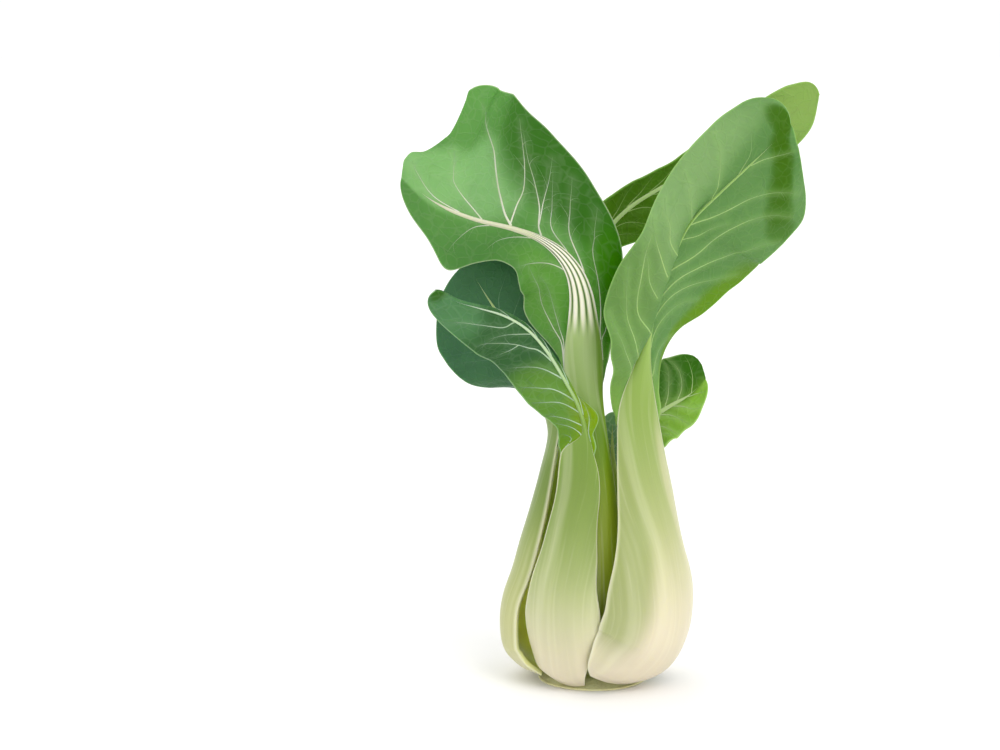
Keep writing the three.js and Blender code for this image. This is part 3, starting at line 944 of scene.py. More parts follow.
class BeadTree:
    """Geometry Nodes that sweep a round bead along each line of a net of veins."""

    def __init__(self) -> None:
        """Builds the tree."""
        self.tree = bpy.data.node_groups.new("vein_beads", "GeometryNodeTree")
        face = self.tree.interface
        face.new_socket("Lines", in_out="INPUT", socket_type="NodeSocketGeometry")
        self.sides = face.new_socket("Sides", in_out="INPUT", socket_type="NodeSocketInt")
        self.gauge = face.new_socket("Gauge", in_out="INPUT", socket_type="NodeSocketFloat")
        self.finish = face.new_socket("Finish", in_out="INPUT", socket_type="NodeSocketMaterial")
        face.new_socket("Beads", in_out="OUTPUT", socket_type="NodeSocketGeometry")
        start = self._node("NodeGroupInput")
        line = self._node("GeometryNodeMeshToCurve")
        ring = self._node("GeometryNodeCurvePrimitiveCircle")
        size = self._node("GeometryNodeInputNamedAttribute")
        gauged = self._node("ShaderNodeMath")
        sweep = self._node("GeometryNodeCurveToMesh")
        shade = self._node("GeometryNodeSetShadeSmooth")
        real = self._node("GeometryNodeRealizeInstances")
        dress = self._node("GeometryNodeSetMaterial")
        end = self._node("NodeGroupOutput")
        size.inputs["Name"].default_value = "radius_here"
        gauged.operation = "MULTIPLY"
        ring.inputs["Radius"].default_value = 1.0
        sweep.inputs["Fill Caps"].default_value = True
        for source, target in (
            (start.outputs["Lines"], line.inputs["Mesh"]),
            (start.outputs["Sides"], ring.inputs["Resolution"]),
            (start.outputs["Gauge"], gauged.inputs[0]),
            (size.outputs["Attribute"], gauged.inputs[1]),
            (line.outputs["Curve"], sweep.inputs["Curve"]),
            (ring.outputs["Curve"], sweep.inputs["Profile Curve"]),
            (gauged.outputs[0], sweep.inputs["Scale"]),
            (sweep.outputs["Mesh"], shade.inputs["Geometry"]),
            (shade.outputs["Geometry"], real.inputs["Geometry"]),
            (real.outputs["Geometry"], dress.inputs["Geometry"]),
            (start.outputs["Finish"], dress.inputs["Material"]),
            (dress.outputs["Geometry"], end.inputs["Beads"]),
        ):
            self.tree.links.new(source, target)

    def _node(self, kind: str) -> bpy.types.Node:
        """Adds a node."""
        return self.tree.nodes.new(kind)

    def sweep(self, lines: bpy.types.Object, sides: int, finish: bpy.types.Material) -> bpy.types.Object:
        """Turns a mesh of lines into a plain mesh of beads.

        Args:
            lines: The lines. Their points carry radius_here, in metres, and fade. It is removed.
            sides: Faces round a bead.
            finish: The beads' material.

        Returns:
            The beads, at the origin.
        """
        modifier = lines.modifiers.new("beads", "NODES")
        modifier.node_group = self.tree
        modifier[self.sides.identifier] = sides
        modifier[self.gauge.identifier] = 1.0
        modifier[self.finish.identifier] = finish
        seen = lines.evaluated_get(bpy.context.evaluated_depsgraph_get())
        mesh = bpy.data.meshes.new_from_object(seen)
        name = lines.name.removesuffix("_lines")
        bpy.data.objects.remove(lines)
        mesh.name = name
        return placed(name, mesh)


@dataclass
class Leaf:
    """A leaf: a stalk, which runs on as the midrib, and a blade with its veins.

    Sizes are in millimetres, angles in degrees, and marks start with a share of the leaf's length.
    """

    name: str
    spine: Sequence[Mark]
    facing: Sequence[Mark]
    stalk: Sequence[Mark]
    flesh: Sequence[Mark]
    cup: Sequence[Mark]
    starts: float
    tip: float
    left: Half
    right: Half
    ripple: Ripple
    flesh_finish: StalkFinish = field(default_factory=lambda: STALK)
    green: BladeFinish = field(default_factory=lambda: GREEN)
    seed: int = 1
    crinkle: float = 0.12
    stalk_ribs: int = 0
    rib_height: float = 0.0
    rib_run: tuple[float, float, float, float] = (0.55, 0.64, 0.74, 0.82)
    quilting: float = 0.42
    vein_faces: tuple[Layer, ...] = (Layer.OUTER, Layer.INNER)
    pitch: float = 0.68

    def __post_init__(self) -> None:
        """Reads the marks."""
        self.midline = Midline(self.spine)
        self.azimuth, self.climb = Track(self.facing, 1), Track(self.facing, 2)
        self.thick = Track(self.flesh)
        self.halves = {Side.LEFT: self.left, Side.RIGHT: self.right}
        self.rib_end = self.stalk[-1][0]
        column = {Side.LEFT: 1, Side.RIGHT: 2}
        self.stalk_tracks = {side: Track(self.stalk, column[side]) for side in Side}
        self.cup_tracks = {side: Track(self.cup, column[side]) for side in Side}
        self.turns = {
            side: [Track(marks) for marks in (half.reach, half.lean, half.fold, half.curl)]
            for side, half in self.halves.items()
        }
        self.trims = {
            side: Track([(at / TRIM_SPAN, longer) for at, longer in half.trim])
            for side, half in self.halves.items()
        }
        self.grain = Crinkle(self.seed, GRAIN_WAVE)
        self.fine_grain = Crinkle(self.seed + FINE_GRAIN_SEED, FINE_GRAIN_WAVE)

    def _closing(self, share: np.ndarray) -> np.ndarray:
        """1 up to the stalk's last mark, and less past it, down to 0 where the midrib closes."""
        left = 1.0 - eased((share - self.rib_end) / (RIB_CLOSES - self.rib_end))
        return np.where(share >= RIB_CLOSES, 0.0, left)

    def _winged(self, share: np.ndarray) -> np.ndarray:
        """0 below the place where the blade starts, and 1 above it."""
        return eased((share - self.starts + WING_RUN) / (2 * WING_RUN))

    def _stalk_half(self, share: np.ndarray, side: Side) -> np.ndarray:
        """Half the width of the stalk, or of the midrib that it runs on as."""
        return self.stalk_tracks[side](share) * self._closing(share)

    def _reach(self, share: np.ndarray, side: Side) -> np.ndarray:
        """Half the leaf's width, from the midline to its edge.

        Args:
            share: Shares of the leaf's length.
            side: Which half.

        Returns:
            The width at each of them.
        """
        half = self.halves[side]
        stalk = self._stalk_half(share, side)
        past = np.clip((share - self.tip) / (1 - self.tip), 0.0, 1.0)
        rounding = np.sqrt(np.clip(1 - (1 - half.blunt**2) * past**2, 0.0, 1.0))
        strip = LEAST_STRIP * (1 - STRIP_NARROWS * past)
        blade = np.maximum(self.turns[side][0](share) * rounding, stalk + strip)
        return stalk + (blade - stalk) * self._winged(share)

    def _turn(self, share: np.ndarray, side: Side, distance: np.ndarray) -> np.ndarray:
        """The angle that the section has turned through.

        Args:
            share: Shares of the leaf's length, one a row.
            side: Which half.
            distance: Distances from the midline, along the rows.

        Returns:
            The angle at each distance, in radians.
        """
        stalk = self._stalk_half(share, side)[:, None]
        reach = self._reach(share, side)[:, None]
        _, lean, fold, curl = (track(share)[:, None] for track in self.turns[side])
        out = np.clip((distance - stalk) / np.maximum(reach - stalk, TINY), 0.0, 1.0)
        half = self.halves[side]
        beyond = lean * eased(out / half.lean_run) + curl * out
        beyond += fold * eased((out - half.fold_at) / half.fold_run)
        within = np.clip(distance / np.maximum(stalk, TINY), 0.0, 1.0)
        return np.radians(self.cup_tracks[side](share)[:, None] * within + beyond)

    def _shares(self) -> np.ndarray:
        """The rows of the grid, closer at the foot and towards the tip."""
        length = self.midline.length
        wing = self.starts - WING_RUN
        foot = np.linspace(0, 1, int(self.starts * length / FOOT_PITCH)) ** FOOT_CLOSING * wing
        blade = np.linspace(wing, self.tip, int((self.tip - self.starts) * length / self.pitch))
        tip_rows = int(TIP_ROWS * (1 - self.tip) * length / self.pitch)
        tip = np.sin(0.5 * np.pi * np.linspace(0, 1, tip_rows))
        return np.concatenate([foot[:-1], blade, self.tip + (1 - self.tip) * tip[1:]])

    def _frames(self, share: np.ndarray) -> tuple[np.ndarray, np.ndarray, np.ndarray, np.ndarray]:
        """The midline's places and the leaf's directions there.

        Args:
            share: Shares of the leaf's length.

        Returns:
            The places, and the directions along the leaf, across it and out of its outer face.
        """
        place, along = self.midline.at(share)
        azimuth, climb = np.radians(self.azimuth(share)), np.radians(self.climb(share))
        looks = np.stack(
            [np.cos(azimuth) * np.cos(climb), np.sin(azimuth) * np.cos(climb), np.sin(climb)], axis=1
        )
        across = np.cross(along, looks)
        across /= np.linalg.norm(across, axis=1, keepdims=True)
        return place, along, across, np.cross(across, along)

    def _half_grid(self, share: np.ndarray, side: Side, blade_cells: int) -> Grid:
        """The points of one half of the leaf and what they carry.

        Args:
            share: Shares of the leaf's length, one a row.
            side: Which half.
            blade_cells: How many cells the blade has across.

        Returns:
            Tables with a row for each share, from the midline to the edge.
        """
        stalk, reach = self._stalk_half(share, side), self._reach(share, side)
        inner_steps = np.linspace(0, 1, STALK_CELLS + 1)
        outer_steps = 1 - (1 - np.linspace(0, 1, blade_cells + 1)[1:]) ** EDGE_CROWDING
        distance = np.concatenate(
            [
                stalk[:, None] * inner_steps,
                stalk[:, None] + (reach - stalk)[:, None] * outer_steps,
            ],
            axis=1,
        )
        place, along, across, out = self._frames(share)
        step = np.diff(distance, axis=1)
        lateral, inward = np.zeros_like(distance), np.zeros_like(distance)
        for k in range(SUBSTEPS):
            angle = self._turn(share, side, distance[:, :-1] + step * (k + 0.5) / SUBSTEPS)
            lateral[:, 1:] += np.cos(angle) * step / SUBSTEPS
            inward[:, 1:] += np.sin(angle) * step / SUBSTEPS
        lateral, inward = np.cumsum(lateral, axis=1), np.cumsum(inward, axis=1)
        angle = self._turn(share, side, distance)
        sign = float(side.value)
        normal = (
            out[:, None] * np.cos(angle)[..., None] + sign * across[:, None] * np.sin(angle)[..., None]
        )
        points = place[:, None] + sign * across[:, None] * lateral[..., None]
        points -= out[:, None] * inward[..., None]
        late = eased((share - TRIM_STARTS) / (1 - TRIM_STARTS))[:, None]
        points += along[:, None] * (self.trims[side](distance / TRIM_SPAN) * late)[..., None]
        within = np.clip(distance / np.maximum(stalk, TINY)[:, None], 0.0, 1.0)
        beyond = np.clip(
            (distance - stalk[:, None]) / np.maximum(reach - stalk, TINY)[:, None], 0.0, 1.0
        )
        beyond[:, : STALK_CELLS + 1] = 0.0
        return {
            "points": points,
            "normal": normal,
            "distance": sign * distance,
            "within": sign * within,
            "beyond": sign * beyond,
            "to_edge": reach[:, None] - distance,
        }

    def _ruled(self, rule: VeinRule, draw: np.random.Generator) -> list[tuple[np.ndarray, float]]:
        """Side veins that follow a rule.

        Args:
            rule: The rule.
            draw: The seeded draw, used twice for each vein.

        Returns:
            Each vein's path, in shares, and its width.
        """
        paths = []
        for i in range(rule.count):
            t = (i + draw.uniform(-VEIN_JITTER, VEIN_JITTER)) / max(1, rule.count - 1)
            shorter = 1.0 - VEIN_SHORTENS * np.clip(t, 0, 1)
            root = rule.first + (rule.last - rule.first) * np.clip(t, 0, 1)
            rise = rule.rise * shorter * draw.uniform(*VEIN_RISES)
            end = min(root + rise, VEIN_LAST_SHARE)
            bend = 0.5 + 0.5 * rule.sweep
            path = [
                (root, 0.0),
                (root + (end - root) * bend * VEIN_EARLY, (1 - bend) * 0.5),
                (root + (end - root) * bend, 0.5 - VEIN_SWEEP_IN * rule.sweep + VEIN_OUTWARD),
                (end, VEIN_LAST_OUT),
            ]
            paths.append((np.array(path), rule.width * shorter))
        return paths

    def _strands(self, side: Side) -> list[Strand]:
        """The side veins of one half, with the forks near their ends.

        Args:
            side: Which half.

        Returns:
            The veins, drawn ones first.
        """
        half = self.halves[side]
        draw = np.random.default_rng(self.seed * 7 + side.value)
        paths = [(np.array(vein.path, float), vein.width) for vein in half.veins]
        if half.rule is not None:
            paths += self._ruled(half.rule, draw)
        strands = []
        for path, width in paths:
            line = spline(path, VEIN_SAMPLES)
            run = np.linspace(0.0, 1.0, len(line))
            strands.append(self._strand(side, line, width * (1 - VEIN_THINS * run**VEIN_THIN_POWER), run))
            strands += self._forks(side, line, width, draw)
        return strands

    def _strand(self, side: Side, line: np.ndarray, radius: np.ndarray, fade: np.ndarray) -> Strand:
        """Lays a line given in shares on the flat leaf.

        Args:
            side: Which half.
            line: Shares of the leaf's length and of the half's width, one place a row.
            radius: The vein's half width at each of them.
            fade: How far it has faded into the blade.

        Returns:
            The strand.
        """
        share = np.clip(line[:, 0], 0.0, STRAND_LAST_SHARE)
        stalk, reach = self._stalk_half(share, side), self._reach(share, side)
        out = np.clip(line[:, 1], *STRAND_OUT)
        across = np.maximum(stalk + (reach - stalk) * out, STRAND_LEAST_ACROSS)
        return Strand(side, share, across, radius, fade)

    def _forks(self, side: Side, line: np.ndarray, width: float, draw: np.random.Generator) -> list[Strand]:
        """Branches that leave a side vein on alternate sides.

        Args:
            side: Which half.
            line: The vein's line, in shares.
            width: Its width at the root.
            draw: The seeded draw, used once for each branch.

        Returns:
            The branches that are long enough to show.
        """
        found = []
        length = self.midline.length
        for k, at in enumerate(FORKS_AT):
            i = int(at * (len(line) - 1))
            way = 1.0 if k % 2 == 0 else -1.0
            share, out = line[i]
            reach = float(self._reach(np.array([share]), side)[0])
            shorter = FORK_FIRST_RUN - FORK_SHORTENS * at
            run = draw.uniform(*FORK_RUN) * shorter * min(1.0, reach / FORK_REACH + FORK_LEAST_RUN)
            ahead = line[min(i + FORK_LOOKS_AHEAD, len(line) - 1)] - line[i]
            ahead = np.array([ahead[0] * length, ahead[1] * reach])
            ahead /= max(float(np.linalg.norm(ahead)), TINY)
            aside = np.array([-ahead[1], ahead[0]]) * way
            points = []
            for t in np.linspace(0, 1, FORK_SAMPLES):
                step = ahead * run * t * (FORK_AHEAD - FORK_SLOWS * t)
                step += aside * run * FORK_ASIDE * t**FORK_ASIDE_POWER
                points.append((share + step[0] / length, out + step[1] / max(reach, 1.0)))
            branch = np.array(points)
            inside = (branch[:, 1] > FORK_OUT[0]) & (branch[:, 1] < FORK_OUT[1])
            keep = inside & (branch[:, 0] < FORK_LAST_SHARE)
            branch = branch[: int(np.argmin(keep)) if not keep.all() else len(branch)]
            if len(branch) < FORK_LEAST_SAMPLES:
                continue
            t = np.linspace(0, 1, len(branch))
            radius = FORK_WIDTH * width * (1 - FORK_THINS * t)
            found.append(self._strand(side, branch, radius, FORK_FADE + (1 - FORK_FADE) * t))
        return found

    def _near(self, side: Side, strands: list[Strand], grid: Grid, share: np.ndarray) -> np.ndarray:
        """How near each point of one half is to a vein, on the leaf laid flat.

        Args:
            side: Which half.
            strands: Its veins.
            grid: Its tables.
            share: Shares of the leaf's length, one a row.

        Returns:
            1 on a vein, and 0 a few widths off.
        """
        x = np.abs(grid["distance"])
        y = np.repeat(share[:, None] * self.midline.length, x.shape[1], axis=1)
        near = np.zeros_like(x)
        for strand in strands:
            if strand.side is not side or strand.radius[0] < HALO_LEAST_RADIUS:
                continue
            along = strand.share * self.midline.length
            rows = (y[:, 0] > along.min() - HALO_SEARCH) & (y[:, 0] < along.max() + HALO_SEARCH)
            px, py = x[rows], y[rows]
            best = np.full(px.shape, FAR)
            for i in range(0, len(along) - HALO_STRIDE, HALO_STRIDE):
                j = min(i + HALO_STRIDE, len(along) - 1)
                ax, ay = strand.across[i], along[i]
                bx, by = strand.across[j] - ax, along[j] - ay
                t = np.clip(((px - ax) * bx + (py - ay) * by) / max(bx * bx + by * by, NUDGE), 0, 1)
                best = np.minimum(best, np.hypot(px - ax - bx * t, py - ay - by * t))
            near[rows] = np.maximum(near[rows], np.exp(-((best / HALO_WIDTH) ** 2)))
        return near

    def _place_strand(self, strand: Strand, share: np.ndarray, grid: Grid, face: Layer) -> np.ndarray:
        """Places of a strand on one face of the blade, sunk by a part of its radius.

        Args:
            strand: The strand.
            share: Shares of the leaf's length, one for each row of the grid.
            grid: The tables of the strand's half.
            face: The face that it lies on.

        Returns:
            The places, one a row.
        """
        rows = np.interp(strand.share, share, np.arange(len(share)))
        low = np.clip(rows.astype(int), 0, len(share) - 2)
        weight = (rows - low)[:, None]
        distance = np.abs(grid["distance"])

        def read(table: np.ndarray, numbers: np.ndarray) -> np.ndarray:
            """Reads one vector of a table for each place, in given rows."""
            return np.array(
                [
                    [np.interp(across, distance[row], table[row, :, axis]) for axis in range(3)]
                    for row, across in zip(numbers, strand.across)
                ]
            )

        place, normal = (
            read(table, low) * (1 - weight) + read(table, low + 1) * weight
            for table in (grid[face.name.lower()], grid["normal"])
        )
        inwards = 1.0 if face is Layer.OUTER else -1.0
        return place - normal * (inwards * SUNK * strand.radius)[:, None]

    def _lines(
        self, strands: list[Strand], share: np.ndarray, grids: dict[Side, Grid]
    ) -> bpy.types.Object:
        """The mesh of vein lines that the beads follow.

        Args:
            strands: The veins of both halves.
            share: Shares of the leaf's length, one for each row of the grids.
            grids: The tables of each half.

        Returns:
            The mesh, in metres.
        """
        points, edges, radius, fade = [], [], [], []
        for strand, face in ((strand, face) for strand in strands for face in self.vein_faces):
            first = len(points)
            points += (self._place_strand(strand, share, grids[strand.side], face) * MM).tolist()
            edges += [(first + i, first + i + 1) for i in range(len(strand.share) - 1)]
            radius += (strand.radius * MM).tolist()
            fade += strand.fade.tolist()
        mesh = bpy.data.meshes.new(f"{self.name}_vein_lines")
        mesh.from_pydata(points, edges, [])
        for key, values in (("radius_here", radius), ("fade", fade)):
            mesh.attributes.new(key, "FLOAT", "POINT").data.foreach_set("value", values)
        return placed(f"{self.name}_veins_lines", mesh)

    def _depth(
        self, share: np.ndarray, grid: Grid, stalk_part: np.ndarray, round_off: np.ndarray
    ) -> np.ndarray:
        """How thick one half is at its points.

        Args:
            share: Shares of the leaf's length, one a row.
            grid: The half's tables.
            stalk_part: Which points belong to the stalk.
            round_off: How full the stalk is, from 1 on the midline to 0 at its edge.

        Returns:
            The thickness.
        """
        flesh = self.thick(share)[:, None]
        edge = np.minimum(STALK_EDGE, flesh)
        edge = edge + (BLADE_THICKNESS - edge) * eased((share - self.starts) / THIN_RUN)[:, None]
        depth = np.where(
            stalk_part,
            edge + (flesh - edge) * round_off,
            edge + (MARGIN_THICKNESS - edge) * np.abs(grid["beyond"]),
        )
        rim = np.clip(grid["to_edge"] / RIM_ROUND, 0.0, 1.0)
        rim = np.where(stalk_part, rim + (1 - rim) * self._winged(share)[:, None], rim)
        return depth * (RIM_LEAST + (1 - RIM_LEAST) * np.sqrt(1 - (1 - rim) ** 2))

    def _ribs(self, share: np.ndarray, grid: Grid, stalk_part: np.ndarray) -> np.ndarray | float:
        """Notes where the stalk has split into ribs.

        Args:
            share: Shares of the leaf's length, one a row.
            grid: The half's tables, which get "rib" and "groove".
            stalk_part: Which points belong to the stalk.

        Returns:
            How much lower the grooves make the outer face.
        """
        if not self.stalk_ribs:
            grid["rib"] = grid["groove"] = np.zeros_like(grid["distance"])
            return 0.0
        comb = np.abs(np.cos(0.5 * np.pi * self.stalk_ribs * grid["within"])) ** COMB_POWER
        low, full, fall, end = self.rib_run
        rise = eased((share - low) / (full - low)) * (1 - eased((share - fall) / (end - fall)))
        rise = rise[:, None] * stalk_part
        grid["rib"] = comb**RIB_POWER * rise
        grid["groove"] = (1 - comb) * rise
        return self.rib_height * (comb - 1) * rise

    def _shape(self, share: np.ndarray, grid: Grid, side: Side) -> None:
        """Gives one half its outer and inner face, with its swell, ripple and quilting.

        Args:
            share: Shares of the leaf's length, one a row.
            grid: The half's tables, which get "outer" and "inner".
            side: Which half.
        """
        half = self.halves[side]
        within, beyond = np.abs(grid["within"]), np.abs(grid["beyond"])
        stalk_part = beyond == 0.0
        round_off = (1 - within**2) * self._closing(share)[:, None]
        rise = eased((share - self.starts) / SWELL_RUN)[:, None]
        swell = rise * RIB_SWELL * self.thick(share)[:, None] * round_off * stalk_part
        wave = np.sin(2 * np.pi * (self.ripple.waves * share + half.phase))[:, None]
        swell = swell + self.ripple.height * beyond**2 * wave
        x, y = grid["distance"], np.repeat(share[:, None] * self.midline.length, beyond.shape[1], axis=1)
        uneven = self.grain(x, y) + FINE_SHARE * self.fine_grain(x, y)
        swell = swell + self.crinkle * eased(beyond * LOOSE_GAIN) * uneven
        swell = swell + self.quilting * grid["near"] * eased(beyond * QUILT_GAIN)
        swell = swell + self._ribs(share, grid, stalk_part)
        depth = self._depth(share, grid, stalk_part, round_off)
        grid["outer"] = grid["points"] + grid["normal"] * swell[..., None]
        grid["inner"] = grid["outer"] - grid["normal"] * depth[..., None]

    def _skin(self, share: np.ndarray, halves: dict[Side, Grid]) -> Skin:
        """Both faces of the whole leaf, with what their points carry.

        Args:
            share: Shares of the leaf's length, one a row.
            halves: The tables of each half.

        Returns:
            The skin, without faces.
        """
        left, right = halves[Side.LEFT], halves[Side.RIGHT]
        kept = ("outer", "inner", "distance", "within", "beyond", "near", "rib", "groove", "to_edge")
        joined = {key: np.concatenate([left[key][:, ::-1], right[key][:, 1:]], axis=1) for key in kept}
        rows, columns = joined["distance"].shape
        y = np.repeat(share[:, None], columns, axis=1)
        flat = np.stack([joined["distance"] * MM, y * self.midline.length * MM, 0 * y], axis=2)
        one = {
            "along": y,
            "stalk_across": joined["within"],
            "blade_across": joined["beyond"],
            "near_vein": joined["near"],
            "rib": joined["rib"],
            "groove": joined["groove"],
            "rim": 1 - eased(joined["to_edge"] / RIM_WIDTH),
            "young": 1 - eased((y - self.starts) / YOUNG_RUN),
        }
        values = {key: np.concatenate([table.ravel(), table.ravel()]) for key, table in one.items()}
        count = rows * columns
        values["outer"] = np.concatenate([np.ones(count), np.zeros(count)])
        values["flat"] = np.concatenate([flat.reshape(-1, 3)] * 2)
        points = np.concatenate([joined["outer"].reshape(-1, 3), joined["inner"].reshape(-1, 3)])
        return Skin(points, values)

    def _faces(self, skin: Skin, share: np.ndarray, blade_cells: int) -> None:
        """Adds the faces of the stalk, the blade, their shared seams and the edges.

        Args:
            skin: The skin, whose points stand in rows, first those of the outer face.
            share: Shares of the leaf's length, one a row.
            blade_cells: How many cells each half of the blade has across.
        """
        columns = 2 * (STALK_CELLS + blade_cells) + 1
        number = np.arange(len(share) * columns).reshape(len(share), columns)
        layer = {Layer.OUTER: number, Layer.INNER: number + number.size}
        first = int(np.argmax(share >= self.starts - WING_RUN - NUDGE))
        close = int(np.argmax(share >= RIB_CLOSES))
        seams = (blade_cells, blade_cells + 2 * STALK_CELLS)
        last, edge = len(share) - 1, columns - 1

        def sheet(rows: tuple[int, int], cols: tuple[int, int], group: str) -> None:
            """Adds both faces between two rows and two columns.

            Args:
                rows: The first and the last row.
                cols: The first and the last column.
                group: The group that the faces belong to.
            """
            for which, table in layer.items():
                part = table[rows[0] : rows[1] + 1, cols[0] : cols[1] + 1]
                corners = [part[:-1, :-1], part[:-1, 1:], part[1:, 1:], part[1:, :-1]]
                if which is Layer.INNER:
                    corners = corners[::-1]
                skin.add(group, np.stack([c.ravel() for c in corners], axis=1))

        def wall(rows: np.ndarray | int, cols: np.ndarray | int, group: str, flip: bool) -> None:
            """Adds a strip that joins the two faces.

            Args:
                rows: The rows that it follows, or its only one.
                cols: The columns that it follows, or its only one.
                group: The group that the faces belong to.
                flip: Whether it looks the other way.
            """
            outer, inner = layer[Layer.OUTER][rows, cols], layer[Layer.INNER][rows, cols]
            corners = [outer[:-1], outer[1:], inner[1:], inner[:-1]]
            skin.add(group, np.stack(corners[::-1] if flip else corners, axis=1))

        sheet((0, close), seams, "stalk")
        sheet((first, last), (0, seams[0]), "blade")
        sheet((first, last), (seams[1], edge), "blade")
        low, upper = np.arange(0, first + 1), np.arange(first, last + 1)
        shared = np.arange(first, close + 1)
        for seam, flip in zip(seams, (False, True)):
            wall(low, seam, "stalk_edge", flip)
        for column, flip in ((0, False), (edge, True)):
            wall(upper, column, "margin", flip)
        for seam, flip in zip(seams, (False, True)):
            wall(shared, seam, "stalk_seam", flip)
        for seam, flip in zip(seams, (True, False)):
            wall(shared, seam, "blade_seam", flip)
        wall(0, np.arange(seams[0], seams[1] + 1), "foot", True)
        for span in (np.arange(0, seams[0] + 1), np.arange(seams[1], columns)):
            wall(first, span, "blade_foot", True)
            wall(last, span, "margin", False)

    def build(self, beads: BeadTree) -> list[bpy.types.Object]:
        """Makes the leaf's stalk, blade and veins.

        Args:
            beads: The tree that sweeps the veins.

        Returns:
            The pieces, ready to ride.
        """
        share = self._shares()
        widest = max(float(self._reach(share, side).max()) for side in Side)
        blade_cells = int(np.clip(widest / self.pitch, *BLADE_CELLS))
        halves, strands = {}, []
        for side in Side:
            mine = self._strands(side)
            grid = self._half_grid(share, side, blade_cells)
            grid["near"] = self._near(side, mine, grid, share)
            self._shape(share, grid, side)
            halves[side] = grid
            strands += mine
        skin = self._skin(share, halves)
        self._faces(skin, share, blade_cells)
        normals = skin.normals(("stalk", "blade", "stalk_edge", "margin", "foot"))
        name = self.name
        stalk = skin.mesh(f"{name}_stalk_flesh", ("stalk", "stalk_edge", "stalk_seam", "foot"), normals)
        blade = skin.mesh(f"{name}_blade_sheet", ("blade", "margin", "blade_seam", "blade_foot"), normals)
        stalk.data.materials.append(self.flesh_finish.material(f"{name}_stalk_finish"))
        blade.data.materials.append(self.green.material(f"{name}_blade_finish"))
        vein_finish = self.green.vein_material(f"{name}_vein_finish")
        veins = beads.sweep(self._lines(strands, share, halves), VEIN_SIDES, vein_finish)
        for piece, slot in ((stalk, "stalk"), (blade, "blade"), (veins, "blade")):
            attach(piece, "root")
        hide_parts(f"{name}_stalk")
        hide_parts(f"{name}_blade")
        return [stalk, blade, veins]


CUT_RADIUS = 18.6

CREAM = (0.74, 0.66, 0.51)
RIB = (0.40, 0.55, 0.22)
OLIVE = (0.34, 0.42, 0.02)
WHITE_VEIN = (0.70, 0.76, 0.56)
GREEN_VEIN = (0.36, 0.57, 0.19)
BAND = (0.042, 0.128, 0.0)

STALK = StalkFinish(
    stops=(
        (0.0, CREAM), (0.12, (0.66, 0.62, 0.42)), (0.24, (0.45, 0.49, 0.22)), (0.4, (0.25, 0.35, 0.08)),
        (1.0, RIB),
    ),
)
RIGHT_STALK = StalkFinish(
    stops=(
        (0.0, CREAM), (0.14, (0.73, 0.65, 0.48)), (0.22, (0.60, 0.58, 0.34)), (0.3, (0.42, 0.46, 0.19)),
        (0.42, (0.27, 0.37, 0.09)), (0.5, (0.24, 0.36, 0.06)), (0.58, (0.27, 0.42, 0.08)),
        (0.68, (0.30, 0.50, 0.14)), (1.0, (0.30, 0.50, 0.14)),
    ),
    patches=(
        # Painted shade down the stalk's left side, and a painted highlight on its right side.
        Patch(0.24, -0.9, 0.27, 0.72, (0.28, 0.345, 0.10), 0.8),
        Patch(0.3, 0.7, 0.2, 0.5, (0.62, 0.60, 0.36), 0.6),
    ),
    streak=0.3,
)
FRONT_STALK = StalkFinish(
    stops=(
        (0.0, CREAM), (0.09, (0.68, 0.62, 0.44)), (0.16, (0.57, 0.57, 0.34)), (0.24, (0.39, 0.45, 0.18)),
        (0.33, (0.25, 0.34, 0.085)), (0.42, (0.19, 0.285, 0.05)), (0.53, (0.16, 0.27, 0.03)),
        (0.6, (0.20, 0.36, 0.05)), (0.7, (0.46, 0.64, 0.34)), (1.0, (0.5, 0.66, 0.45)),
    ),
    streak=0.35,
)
LEFT_STALK = StalkFinish(
    # Its inner face is a bright yellow-green, a painted glow that stands in for light shining through the
    # flesh.
    inside=(0.86, 0.88, 0.09),
    rim_from=0.72,
    stops=(
        (0.0, (0.64, 0.60, 0.40)), (0.1, (0.48, 0.48, 0.20)), (0.22, (0.46, 0.48, 0.19)),
        (0.34, (0.30, 0.37, 0.10)), (0.45, (0.16, 0.25, 0.035)), (0.55, (0.13, 0.22, 0.02)), (1.0, RIB),
    ),
    streak=0.35,
)
TALL_STALK = StalkFinish(
    stops=(
        # The dark stops from 0.34 to 0.445 are painted shade, where the stalk passes in shade between the
        # front and right leaves' stalks.
        (0.0, OLIVE), (0.24, (0.30, 0.38, 0.02)), (0.34, (0.20, 0.31, 0.01)), (0.4, (0.13, 0.25, 0.005)),
        (0.445, (0.13, 0.26, 0.005)), (0.47, (0.33, 0.48, 0.13)), (0.54, (0.40, 0.54, 0.20)),
        (0.62, (0.40, 0.53, 0.20)), (0.7, (0.60, 0.62, 0.42)), (1.0, (0.66, 0.63, 0.46)),
    ),
    patches=(Patch(0.52, 0.95, 0.16, 0.42, (0.20, 0.35, 0.03), 0.85),),
    rim=(0.80, 0.76, 0.62),
    rim_from=0.97,
)
HEART_STALK = StalkFinish(
    stops=((0.0, (0.55, 0.62, 0.04)), (0.5, (0.42, 0.52, 0.04)), (1.0, RIB)),
    rim=(0.45, 0.52, 0.08),
)

